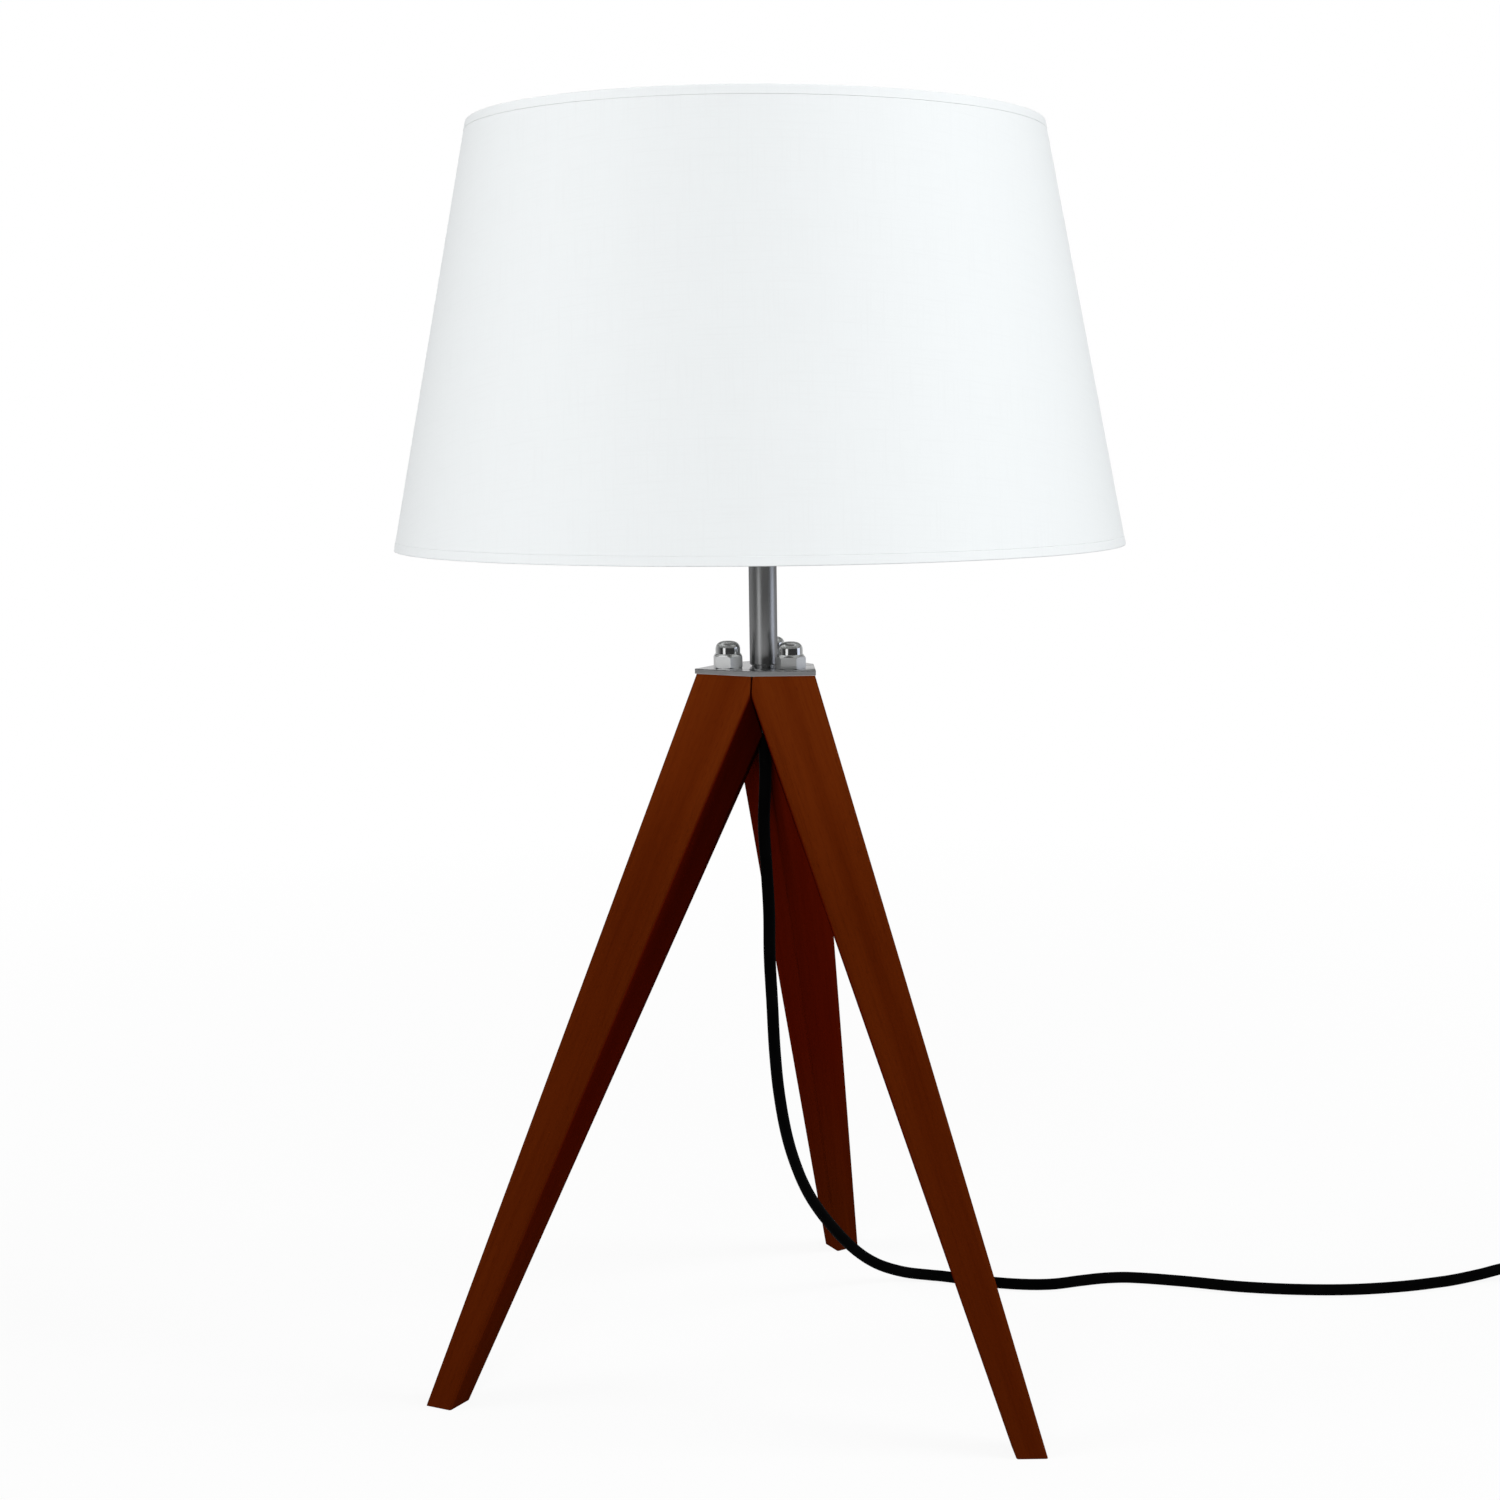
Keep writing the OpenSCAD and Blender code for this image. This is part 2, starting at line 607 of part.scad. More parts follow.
switch_centre = [SWITCH_START.x + switch_l / 2, SWITCH_START.y, 0];
module rounded_plan(l, w, r) {
    square([l - 2 * r, w], center = true);
    square([l, w - 2 * r], center = true);
    for (x = [-1, 1], y = [-1, 1]) translate([x * (l / 2 - r), y * (w / 2 - r)]) circle(r = r);
}
module shell_block(l, w, r, h, rim) {
    linear_extrude(h - rim) rounded_plan(l, w, r);
    translate([0, 0, h - rim - 0.01]) linear_extrude(rim + 0.01)
        rounded_plan(l - 2 * rim, w - 2 * rim, r - rim);
}
screw_x = switch_l / 2 - 11;
screw_d = 3;
screw_head_d = 5.6;
screw_l = 10;
rocker_z = switch_h - 2.5;
rocker_r = window_l / 2 - play;
pocket_z = rocker_z - 4;

module at_switch() translate(switch_centre) children();
module screw_holes(d, z0, z1) for (x = [-1, 1]) translate([x * screw_x, 0, z0]) cylinder(d = d, h = z1 - z0);

module switch_lower() color(black) at_switch() difference() {
    translate([0, 0, switch_low_h]) mirror([0, 0, 1])
        shell_block(switch_l, switch_w, switch_round, switch_low_h, 1);
    screw_holes(screw_d + 0.4, -1, switch_low_h + 1);
    screw_holes(screw_head_d + 0.4, -1, 2);
}

module switch_upper() color(black) at_switch() difference() {
    translate([0, 0, switch_low_h])
        shell_block(switch_l, switch_w, switch_round, switch_h - switch_low_h, 1.2);
    translate([-window_l / 2, -window_w / 2, pocket_z]) cube([window_l, window_w, switch_h]);
    translate([0, window_w / 2 + 2.5, rocker_z]) rotate([90, 0, 0])
        cylinder(d = pivot_d + 2 * run, h = window_w + 5);
    screw_holes(screw_d + 2 * fit, switch_low_h - 1, screw_l + 0.5);
}

// The rocker rests with one end pressed in, half its swing off level
module switch_rocker() color(black)
    at_switch() translate([0, 0, rocker_z]) rotate([0, -rocker_swing / 2, 0]) {
    width = window_w - 2 * play;
    dish = 26;
    difference() {
        intersection() {
            rotate([90, 0, 0]) cylinder(r = rocker_r, h = width, center = true);
            translate([-rocker_r, -width / 2, -2.2]) cube([2 * rocker_r, width, 6]);
        }
        translate([0, 0, dish + 1.6]) rotate([90, 0, 0])
            cylinder(r = dish, h = width + 2, center = true, $fn = 128);
    }
    rotate([90, 0, 0]) cylinder(d = pivot_d, h = window_w + 4, center = true);
}

module switch_screws() color(steel)
    at_switch() for (x = [-1, 1]) translate([x * screw_x, 0, 0]) difference() {
    union() {
        translate([0, 0, 0.4]) cylinder(d = screw_head_d, h = 1.6);
        translate([0, 0, 2]) cylinder(d = screw_d, h = screw_l - 2);
    }
    translate([-0.4, -2, 0]) cube([0.8, 4, 1]);
}

module at_plug() translate([plug_start.x, plug_start.y, plug_axis_z]) rotate([0, 0, 90]) children();

module plug_body() color(black) at_plug() {
    x0 = tail_l;
    x1 = tail_l + plug_l;
    w = plug_w / 2;
    t = plug_t / 2;
    intersection() {
        linear_extrude(plug_t, center = true) polygon([
            [x0 - 1, 6], [x0 + 5, 8], [x0 + plug_l * 0.45, w], [x1 - 9, w], [x1, pin_pitch / 2 + 4.5],
            [x1, -pin_pitch / 2 - 4.5], [x1 - 9, -w], [x0 + plug_l * 0.45, -w], [x0 + 5, -8], [x0 - 1, -6]
        ]);
        rotate([90, 0, 0]) linear_extrude(2 * plug_w, center = true) polygon([
            [x0 - 1, 4.6], [x0 + 10, t], [x1 - 1, t], [x1, t - 1],
            [x1, 1 - t], [x1 - 1, -t], [x0 + 10, -t], [x0 - 1, -4.6]
        ]);
    }
    rotate([0, 90, 0]) rotate_extrude() polygon([
        [0, 0], [cord_r + 0.7, 0],
        for (k = [0 : 3]) each [
            [cord_r + 0.9 + 0.4 * k, 3 + 4.6 * k], [cord_r + 0.1 + 0.4 * k, 3.2 + 4.6 * k],
            [cord_r + 0.3 + 0.4 * k, 4.6 + 4.6 * k], [cord_r + 1.1 + 0.4 * k, 4.8 + 4.6 * k]
        ],
        [cord_r + 2.6, tail_l + 1], [0, tail_l + 1]
    ]);
}

module at_pins() at_plug() for (y = [-1, 1])
    translate([tail_l + plug_l, y * pin_pitch / 2, 0]) rotate([0, 90, 0]) children();

module plug_pins() color(bright) at_pins() {
    core_d = pin_d - 0.8;
    cylinder(d = core_d, h = sleeve_l + 1);
    translate([0, 0, sleeve_l]) cylinder(d = pin_d, h = pin_l - sleeve_l - pin_d / 2);
    translate([0, 0, pin_l - pin_d / 2]) sphere(d = pin_d);
}

module plug_sleeves() color(black) at_pins() ring_of(pin_d, pin_d - 0.8 + 2 * fit, sleeve_l);

leg_rear();
leg_right();
leg_left();
top_plate();
leg_studs();
cap_nuts();
column_tube();
threaded_tube();
tube_washer();
tube_nut();
cord_grip();
inner_lead();
holder_cap();
holder_body();
holder_core();
screw_shell();
centre_contact();
side_contact();
shade_ring();
shade_hub();
shade_arms();
shade_low_ring();
shade_top_ring();
shade_skin();
shade_hem_bottom();
shade_hem_top();
cord_lead();
switch_lower();
switch_upper();
switch_rocker();
switch_screws();
cord_coil();
plug_body();
plug_pins();
plug_sleeves();
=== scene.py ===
"""Tripod table lamp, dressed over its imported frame: wood, metal, cloth and lead.

Lengths are in metres. The floor is z = 0, the column stands on the z axis and the
open mitre line between two legs faces -Y.
"""

import logging
import math
from dataclasses import dataclass
from enum import Enum
from typing import Sequence

import bmesh
import bpy
from mathutils import Matrix, Vector


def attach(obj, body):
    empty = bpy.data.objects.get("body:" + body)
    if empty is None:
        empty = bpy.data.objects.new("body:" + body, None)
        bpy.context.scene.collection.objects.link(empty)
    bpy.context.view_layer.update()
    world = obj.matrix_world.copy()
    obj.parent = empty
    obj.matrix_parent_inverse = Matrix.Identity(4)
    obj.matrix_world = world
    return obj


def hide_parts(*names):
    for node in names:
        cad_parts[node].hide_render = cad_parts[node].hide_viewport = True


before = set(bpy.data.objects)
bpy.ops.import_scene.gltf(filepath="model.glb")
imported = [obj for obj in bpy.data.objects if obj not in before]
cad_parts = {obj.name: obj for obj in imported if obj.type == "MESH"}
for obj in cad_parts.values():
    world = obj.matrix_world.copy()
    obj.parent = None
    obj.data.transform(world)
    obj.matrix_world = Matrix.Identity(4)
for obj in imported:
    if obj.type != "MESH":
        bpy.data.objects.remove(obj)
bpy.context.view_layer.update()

MM = 0.001
ON_AXIS = 1e-7
REAR_LEG = math.radians(75.7)
log = logging.getLogger("tripod_lamp")

BMesh = bmesh.types.BMesh
Mesh = bpy.types.Mesh
Piece = bpy.types.Object
Socket = bpy.types.NodeSocket
Colour = tuple[float, float, float]
Place = tuple[float, float, float]
Profile = list[tuple[float, float]]


class Body(str, Enum):
    """The three bodies that pieces ride on."""

    LAMP = "lamp"
    SHADE = "shade"
    ROCKER = "rocker"


class Slot(str, Enum):
    """Names of the material slots that the finishes carry."""

    WOOD = "wood"
    SATIN_METAL = "satin_metal"
    BRIGHT_METAL = "bright_metal"
    ZINC_STEEL = "zinc_steel"
    CONTACT_BRASS = "contact_brass"
    CERAMIC = "ceramic"
    HOLDER_PLASTIC = "holder_plastic"
    BLACK_PLASTIC = "black_plastic"
    WHITE_WIRE = "white_wire"
    SHADE_CLOTH = "shade_cloth"
    CORD_BLACK = "cord_black"


class Source(str, Enum):
    """What a pattern's coordinates are measured on."""

    OBJECT = "Object"
    UV = "UV"
    GRAIN = "grain"


# Materials


class Tree:
    """A node tree, with short ways to add nodes to it."""

    def __init__(self, tree: bpy.types.NodeTree) -> None:
        """Take the tree to work on."""
        self.tree = tree

    def node(self, kind: str, inputs: dict, **settings) -> bpy.types.Node:
        """Add a node.

        Args:
            kind: The node's type.
            inputs: Values or sockets for its inputs, by name or number.
            **settings: The node's own properties.

        Returns:
            The new node.
        """
        node = self.tree.nodes.new(kind)
        for key, value in settings.items():
            setattr(node, key, value)
        for key, value in inputs.items():
            if isinstance(value, Socket):
                self.tree.links.new(value, node.inputs[key])
            else:
                node.inputs[key].default_value = value
        return node

    def add(self, kind: str, inputs: dict, **settings) -> Socket:
        """Add a node and return its first output."""
        return self.node(kind, inputs, **settings).outputs[0]


class Bench(Tree):
    """A material's or a world's nodes, with short ways to make patterns."""

    def __init__(self, owner: bpy.types.ID) -> None:
        """Turn the nodes of a material or a world on."""
        owner.use_nodes = True
        super().__init__(owner.node_tree)

    def place(self, scale: Place = (1, 1, 1), source: Source = Source.OBJECT) -> Socket:
        """Add coordinates scaled along each axis.

        Args:
            scale: Factor along x, y and z.
            source: What they are measured on.

        Returns:
            The scaled vector.
        """
        if source is Source.GRAIN:
            start = self.stored(source.value, "Vector")
        else:
            start = self.node("ShaderNodeTexCoord", {}).outputs[source.value]
        return self.add("ShaderNodeMapping", {"Vector": start, "Scale": scale})

    def stored(self, name: str, output: str) -> Socket:
        """Return a mesh's attribute, as "Vector" or as the number "Fac"."""
        return self.node("ShaderNodeAttribute", {}, attribute_name=name).outputs[output]

    def axis(self, vector: Socket, name: str) -> Socket:
        """Return a vector's length along one axis."""
        return self.node("ShaderNodeSeparateXYZ", {0: vector}).outputs[name]

    def noise(self, place: Socket, scale: float, detail: float = 2, rough: float = 0.5) -> Socket:
        """Return a noise from 0 to 1 over the given coordinates."""
        inputs = {"Vector": place, "Scale": scale, "Detail": detail, "Roughness": rough}
        return self.add("ShaderNodeTexNoise", inputs)

    def clouds(self, scale: float, detail: float = 3) -> Socket:
        """Return a noise over the object, with as many changes in a metre as the scale."""
        return self.noise(self.place(), scale, detail)

    def spread(self, value: Socket, low: float, high: float, to_low: float, to_high: float) -> Socket:
        """Return the value moved from one range to another and held inside it."""
        inputs = {0: value, 1: low, 2: high, 3: to_low, 4: to_high}
        return self.add("ShaderNodeMapRange", inputs)

    def maths(self, how: str, *values: Socket | float) -> Socket:
        """Return the result of one operation on up to three values."""
        return self.add("ShaderNodeMath", dict(enumerate(values)), operation=how)

    def blend(
        self, factor: Socket | float, first: Socket | Colour, second: Socket | Colour, how: str = "MIX"
    ) -> Socket:
        """Mix two colours.

        Args:
            factor: Share of the second one.
            first: First colour.
            second: Second colour.
            how: The way of mixing.

        Returns:
            The mixed colour.
        """
        inputs = {0: factor}
        for index, colour in ((6, first), (7, second)):
            inputs[index] = colour if isinstance(colour, Socket) else (*colour, 1)
        return self.node("ShaderNodeMix", inputs, data_type="RGBA", blend_type=how).outputs[2]

    def set(self, **values: Socket | Colour | float) -> None:
        """Set the shader's sockets.

        Args:
            **values: Their values, each named in lower case with _ for a space.
        """
        shader = self.tree.nodes["Principled BSDF"]
        names = {socket.name.lower().replace(" ", "_"): socket for socket in shader.inputs}
        for key, value in values.items():
            if isinstance(value, Socket):
                self.tree.links.new(value, names[key])
            else:
                names[key].default_value = (*value, 1) if isinstance(value, tuple) else value

    def bump(self, height: Socket, depth: float, strength: float = 0.5) -> None:
        """Give the shader a bump.

        Args:
            height: Height from 0 to 1.
            depth: Depth in metres of a height of 1.
            strength: Share of the bump that is used.
        """
        inputs = {"Height": height, "Distance": depth, "Strength": strength}
        self.set(normal=self.add("ShaderNodeBump", inputs))


@dataclass(frozen=True)
class Finish:
    """What every finish has: a name, a slot name and a way to build itself."""

    name: str
    slot: Slot

    def build(self, bench: Bench) -> None:
        """Fill the material's tree."""
        raise NotImplementedError

    @property
    def material(self) -> bpy.types.Material:
        """Build the finish's material once.

        Returns:
            The material.
        """
        found = bpy.data.materials.get(self.name)
        if not found:
            found = bpy.data.materials.new(self.name)
            self.build(Bench(found))
        return found


@dataclass(frozen=True)
class StainedWood(Finish):
    """Straight-grained hardwood under a dark red-brown stain."""

    dark: Colour = (0.042, 0.0042, 0.0003)
    plain: Colour = (0.069, 0.0088, 0.0007)
    light: Colour = (0.082, 0.0116, 0.0011)
    # painted light: lifts the outer faces towards the top of the legs, against the shade's shadow there
    painted_top_light: Colour = (1.80, 2.10, 2.6)
    # painted shade: darkens and reddens the inner faces, which face down and away from the lamps
    painted_inner_shade: Colour = (0.98, 0.42, 0.5)
    top_range: tuple = (0.22, 0.35)
    foot_range: tuple = (0.03, 0.14)
    foot_share: float = 0.2
    band_scale: Place = (90, 90, 2.2)
    streak_scale: Place = (1 / (1.1 * MM), 1 / (1.1 * MM), 1 / (60 * MM))
    pore_scale: Place = (1 / (0.28 * MM), 1 / (0.28 * MM), 1 / (5 * MM))
    pore_depth: float = 0.03 * MM
    face_edge: float = 0.5 * MM
    outside: str = "outside"

    def build(self, bench: Bench) -> None:
        """Mix bands, streaks and pores along the leg, with painted light that makes its outer faces paler
        towards its top and painted shade that makes its inner faces darker and redder.

        Args:
            bench: The material's bench.
        """
        bands = bench.noise(bench.place(self.band_scale, Source.GRAIN), 1.0)
        streaks = bench.noise(bench.place(self.streak_scale, Source.GRAIN), 1.0, 5, 0.62)
        pores = bench.noise(bench.place(self.pore_scale, Source.GRAIN), 1.0)
        pores = bench.spread(pores, 0.60, 0.72, 0, 1)
        tone = bench.blend(bench.spread(bands, 0.35, 0.65, 0, 1), self.plain, self.light)
        tone = bench.blend(bench.spread(streaks, 0.46, 0.74, 0, 0.35), tone, self.dark)
        tone = bench.blend(bench.maths("MULTIPLY", pores, 0.6), tone, self.dark)
        height = bench.axis(bench.place(), "Z")
        facing = bench.spread(bench.stored(self.outside, "Fac"), -self.face_edge, self.face_edge, 0, 1)
        # painted light: the outer faces are made paler towards the top of the leg
        top = bench.maths("POWER", bench.spread(height, *self.top_range, 0, 1), 2)
        tone = bench.blend(bench.maths("MULTIPLY", facing, top), tone, self.painted_top_light, "MULTIPLY")
        # painted shade: the inner faces are darkened and reddened, less near the feet
        inside = bench.maths("SUBTRACT", 1.0, facing)
        low = bench.spread(height, *self.foot_range, self.foot_share, 1)
        tone = bench.blend(bench.maths("MULTIPLY", inside, low), tone, self.painted_inner_shade, "MULTIPLY")
        rough = bench.spread(streaks, 0.3, 0.7, 0.38, 0.50)
        bench.set(base_color=tone, roughness=rough, specular_ior_level=0.0)
        bench.bump(bench.maths("ADD", pores, bench.maths("MULTIPLY", streaks, -0.6)), self.pore_depth)


@dataclass(frozen=True)
class TurnedMetal(Finish):
    """Metal turned or brushed round the z axis, with a satin plating."""

    colour: Colour = (0.41, 0.415, 0.42)
    cloud: Colour = (0.38, 0.38, 0.39)
    edge: Colour = (0.42, 0.42, 0.43)
    rough: float = 0.33
    rough_change: float = 0.005
    mark_scale: Place = (14, 14, 1 / (0.12 * MM))
    mark_depth: float = 0.0001 * MM

    def build(self, bench: Bench) -> None:
        """Mix fine marks round the axis with a slight cloudiness.

        Args:
            bench: The material's bench.
        """
        marks = bench.noise(bench.place(self.mark_scale), 1.0)
        tone = bench.blend(bench.spread(bench.clouds(60), 0.3, 0.7, 0, 0.2), self.colour, self.cloud)
        low, high = self.rough - self.rough_change, self.rough + self.rough_change
        rough = bench.spread(marks, 0.3, 0.7, low, high)
        bench.set(base_color=tone, metallic=1.0, roughness=rough, specular_tint=self.edge)
        bench.bump(marks, self.mark_depth, 0.4)


@dataclass(frozen=True)
class SmoothMetal(Finish):
    """Plated or bare metal with faint clouds and fine scratches."""

    colour: Colour
    stain: Colour
    rough: float
    scratch: float
    dull: float = 0.0
    dull_below: float = 0.0
    dull_fade: float = 0.4 * MM
    scratch_way: Place = (1, 0.2, 0.5)
    scratch_scale: float = 1800
    scratch_depth: float = 0.001 * MM

    def build(self, bench: Bench) -> None:
        """Mix clouds of stain and stretched scratches, duller below a height.

        Args:
            bench: The material's bench.
        """
        scratches = bench.noise(bench.place(self.scratch_way), self.scratch_scale, 3)
        tone = bench.blend(bench.spread(bench.clouds(220, 4), 0.45, 0.75, 0, 0.5), self.colour, self.stain)
        rough = bench.spread(scratches, 0.3, 0.7, self.rough, self.rough + self.scratch)
        if self.dull:
            height, edge = bench.axis(bench.place(), "Z"), self.dull_below
            more = bench.spread(height, edge, edge + self.dull_fade, self.dull - self.rough, 0)
            rough = bench.maths("ADD", rough, more)
        bench.set(base_color=tone, metallic=1.0, roughness=rough)
        bench.bump(scratches, self.scratch_depth)


@dataclass(frozen=True)
class Moulded(Finish):
    """Moulded plastic, paint or glazed ceramic with a fine grain on its surface."""

    colour: Colour
    shade: Colour
    rough: float
    grain: float = 0.5 * MM
    depth: float = 0.01 * MM
    gloss: float = 0.5
    cloud_scale: float = 70

    def build(self, bench: Bench) -> None:
        """Mix a slight change of colour, a change of gloss and a fine grain.

        Args:
            bench: The material's bench.
        """
        clouds = bench.clouds(self.cloud_scale)
        tone = bench.blend(bench.spread(clouds, 0.3, 0.7, 0, 1), self.colour, self.shade)
        rough = bench.spread(clouds, 0.3, 0.7, self.rough - 0.03, self.rough + 0.06)
        bench.set(base_color=tone, roughness=rough, specular_ior_level=self.gloss)
        bench.bump(bench.clouds(1 / self.grain, 2), self.depth, 0.7)


@dataclass(frozen=True)
class WovenCloth(Finish):
    """Fine plain-woven cloth; its UV map is in metres along the threads."""

    colour: Colour = (0.845, 0.872, 0.880)
    slub_tone: Colour = (0.5, 0.5, 0.5)
    # painted shade: a darker tone laid into the gaps between the threads
    painted_gap_shade: Colour = (0.5, 0.52, 0.52)
    thread: float = 0.45 * MM
    thread_depth: float = 0.05 * MM
    waver_scale: float = 300
    slub_width: float = 0.9 * MM
    slub_length: float = 30 * MM

    def build(self, bench: Bench) -> None:
        """Mix the two sets of threads, thicker slubs, a faint unevenness and a little painted shade in the
        gaps between the threads.

        Args:
            bench: The material's bench.
        """
        wavy = bench.noise(bench.place((self.waver_scale, self.waver_scale, 0), Source.UV), 1.0)
        shift = bench.spread(wavy, 0.3, 0.7, -0.6, 0.6)
        turns = math.tau / self.thread
        threads = bench.place((turns, turns, 0), Source.UV)
        waves = [bench.maths("SINE", bench.maths("ADD", bench.axis(threads, way), shift)) for way in "XY"]
        height = bench.spread(bench.maths("MULTIPLY", *waves), -1, 1, 0, 1)
        across, along = 1 / self.slub_width, 1 / self.slub_length
        both = ((across, along, 0), (along, across, 0))
        slubs = bench.maths("MAXIMUM", *(bench.noise(bench.place(way, Source.UV), 1.0) for way in both))
        tone = bench.blend(bench.spread(slubs, 0.5, 0.8, 0, 0.05), self.colour, self.slub_tone)
        # painted shade in the gaps between the threads
        tone = bench.blend(bench.spread(height, 0, 0.5, 0.05, 0), tone, self.painted_gap_shade)
        bench.set(base_color=tone, roughness=0.82, specular_ior_level=0.2)
        bench.set(sheen_weight=0.15, sheen_roughness=0.5)
        bench.bump(bench.maths("ADD", height, slubs), self.thread_depth)


@dataclass(frozen=True)
class Sheath(Finish):
    """Black soft sheath of a mains lead."""

    colour: Colour = (0.0009, 0.0009, 0.0010)
    dusty: Colour = (0.0022, 0.0022, 0.0023)
    rough: float = 0.55
    gloss: float = 0.004
    grain_scale: float = 2400
    grain_depth: float = 0.01 * MM

    def build(self, bench: Bench) -> None:
        """Mix a faint dullness in patches with a fine grain.

        Args:
            bench: The material's bench.
        """
        clouds = bench.clouds(45)
        tone = bench.blend(bench.spread(clouds, 0.35, 0.7, 0, 1), self.colour, self.dusty)
        rough = bench.spread(clouds, 0.3, 0.7, self.rough, self.rough + 0.1)
        bench.set(base_color=tone, roughness=rough, specular_ior_level=self.gloss)
        bench.bump(bench.clouds(self.grain_scale, 2), self.grain_depth)


WOOD = StainedWood("stained_wood", Slot.WOOD)
COLUMN_METAL = TurnedMetal("turned_satin_metal", Slot.SATIN_METAL)
PLATE_METAL = SmoothMetal(
    "satin_plate", Slot.SATIN_METAL, (0.66, 0.66, 0.67), (0.60, 0.60, 0.61), rough=0.15, scratch=0.05,
    dull=0.28, dull_below=354 * MM,
)
NUT_METAL = SmoothMetal(
    "polished_nickel", Slot.BRIGHT_METAL, (0.74, 0.75, 0.75), (0.66, 0.67, 0.67), rough=0.09,
    scratch=0.05, dull=0.28, dull_below=360.1 * MM,
)
PIN_METAL = SmoothMetal("pin_nickel", Slot.BRIGHT_METAL, (0.78, 0.77, 0.74), (0.6, 0.59, 0.56), 0.16, 0.1)
ZINC = SmoothMetal("zinc_plate", Slot.ZINC_STEEL, (0.5, 0.51, 0.53), (0.36, 0.37, 0.36), 0.34, 0.14)
BRASS = SmoothMetal("contact_metal", Slot.CONTACT_BRASS, (0.72, 0.57, 0.32), (0.5, 0.38, 0.2), 0.24, 0.12)
CERAMIC = Moulded("glazed_ceramic", Slot.CERAMIC, (0.80, 0.78, 0.72), (0.76, 0.74, 0.68), 0.22)
WHITE_PLASTIC = Moulded("white_plastic", Slot.HOLDER_PLASTIC, (0.80, 0.80, 0.79), (0.77, 0.77, 0.76), 0.26)
WIRE_COAT = Moulded(
    "white_powder_coat", Slot.WHITE_WIRE, (0.80, 0.80, 0.79), (0.76, 0.76, 0.75), 0.45, grain=0.7 * MM,
    depth=0.05 * MM,
)
LINER = Moulded("white_liner", Slot.SHADE_CLOTH, (0.84, 0.85, 0.84), (0.82, 0.83, 0.82), 0.4)
CLOTH = WovenCloth("white_woven_cloth", Slot.SHADE_CLOTH)
BLACK_PLASTIC = Moulded(
    "black_plastic", Slot.BLACK_PLASTIC, (0.006, 0.006, 0.0065), (0.009, 0.009, 0.0095), 0.5,
    grain=0.6 * MM, depth=0.04 * MM, gloss=0.10,
)
CORD_SHEATH = Sheath("black_sheath", Slot.CORD_BLACK)


# Shapes


def show(mesh: Mesh, finish: Finish, *nodes: str, body: Body = Body.LAMP) -> Piece:
    """Make a mesh a finished piece with the mesh's name.

    Args:
        mesh: The mesh, in place.
        finish: Its finish.
        *nodes: CAD nodes that it stands for.
        body: The body that it rides on.

    Returns:
        The piece.
    """
    obj = bpy.data.objects.new(mesh.name, mesh)
    bpy.context.scene.collection.objects.link(obj)
    return settle(obj, finish, *nodes, body=body)


def settle(obj: Piece, finish: Finish, *nodes: str, body: Body = Body.LAMP) -> Piece:
    """Give an object its finish and its body, and hide the CAD nodes that it stands for.

    Args:
        obj: The object.
        finish: Its finish.
        *nodes: CAD nodes that it stands for.
        body: The body that it rides on.

    Returns:
        The same object.
    """
    obj.data.materials.clear()
    obj.data.materials.append(finish.material)
    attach(obj, body.value)
    if nodes:
        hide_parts(*nodes)
    log.info("%s rides on %s and stands for %s", obj.name, body.value, ", ".join(nodes) or "no node")
    return obj


def dress_node(node: str, finish: Finish) -> Piece:
    """Give a CAD node that stays in view its finish.

    Args:
        node: The node's name.
        finish: Its finish.

    Returns:
        The node's object.
    """
    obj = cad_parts[node]
    if obj.material_slots:
        for place in obj.material_slots:
            place.material = finish.material
    else:
        obj.data.materials.append(finish.material)
    log.info("%s keeps its CAD shape", node)
    return obj


def ease(t: float) -> float:
    """Return a smooth step from 0 to 1."""
    s = max(0.0, min(1.0, t))
    return s * s * (3 - 2 * s)


def finished(bm: BMesh, name: str, sharp: float = 32) -> Mesh:
    """Turn a bmesh into a mesh with smooth shading between its sharp edges.

    Args:
        bm: The bmesh, which is freed.
        name: The mesh's name.
        sharp: Least angle in degrees of an edge that stays sharp.

    Returns:
        The mesh, with its faces outward.
    """
    bmesh.ops.recalc_face_normals(bm, faces=bm.faces)
    mesh = bpy.data.meshes.new(name)
    bm.to_mesh(mesh)
    bm.free()
    mesh.shade_smooth()
    mesh.set_sharp_from_angle(angle=math.radians(sharp))
    return mesh


def rounded(points: Sequence[Sequence[float]], radius: float, steps: int = 3) -> Profile:
    """Round the corners of a closed outline.

    Args:
        points: The outline's corners.
        radius: Distance from a corner at which its round starts.
        steps: Number of edges in a round.

    Returns:
        The rounded outline.
    """
    out: Profile = []
    most = 0.45
    for i, corner in enumerate(points):
        b, a, c = Vector(corner), Vector(points[i - 1]), Vector(points[(i + 1) % len(points)])
        if b.x < ON_AXIS:
            out.append(tuple(b))
            continue
        p, q = (b + (end - b).normalized() * min(radius, most * (end - b).length) for end in (a, c))
        for k in range(steps + 1):
            t = k / steps
            out.append(tuple(p * (1 - t) ** 2 + b * (2 * t * (1 - t)) + q * t ** 2))
    return out


def skin(bm: BMesh, rings: Sequence[Sequence[Vector]], loop: bool = True) -> None:
    """Cover a row of rings with faces.

    Args:
        bm: The bmesh to add to.
        rings: Rings of equally many points; a ring of one point is a pole.
        loop: Whether the last ring meets the first.
    """
    count = max(len(ring) for ring in rings)
    made = [[bm.verts.new(p) for p in ring] for ring in rings]
    full = [ring if len(ring) > 1 else ring * count for ring in made]
    for low, high in zip(full, full[1:] + (full[:1] if loop else [])):
        for k in range(count):
            j = (k + 1) % count
            corners = list(dict.fromkeys((low[k], low[j], high[j], high[k])))
            if len(corners) > 2:
                bm.faces.new(corners)


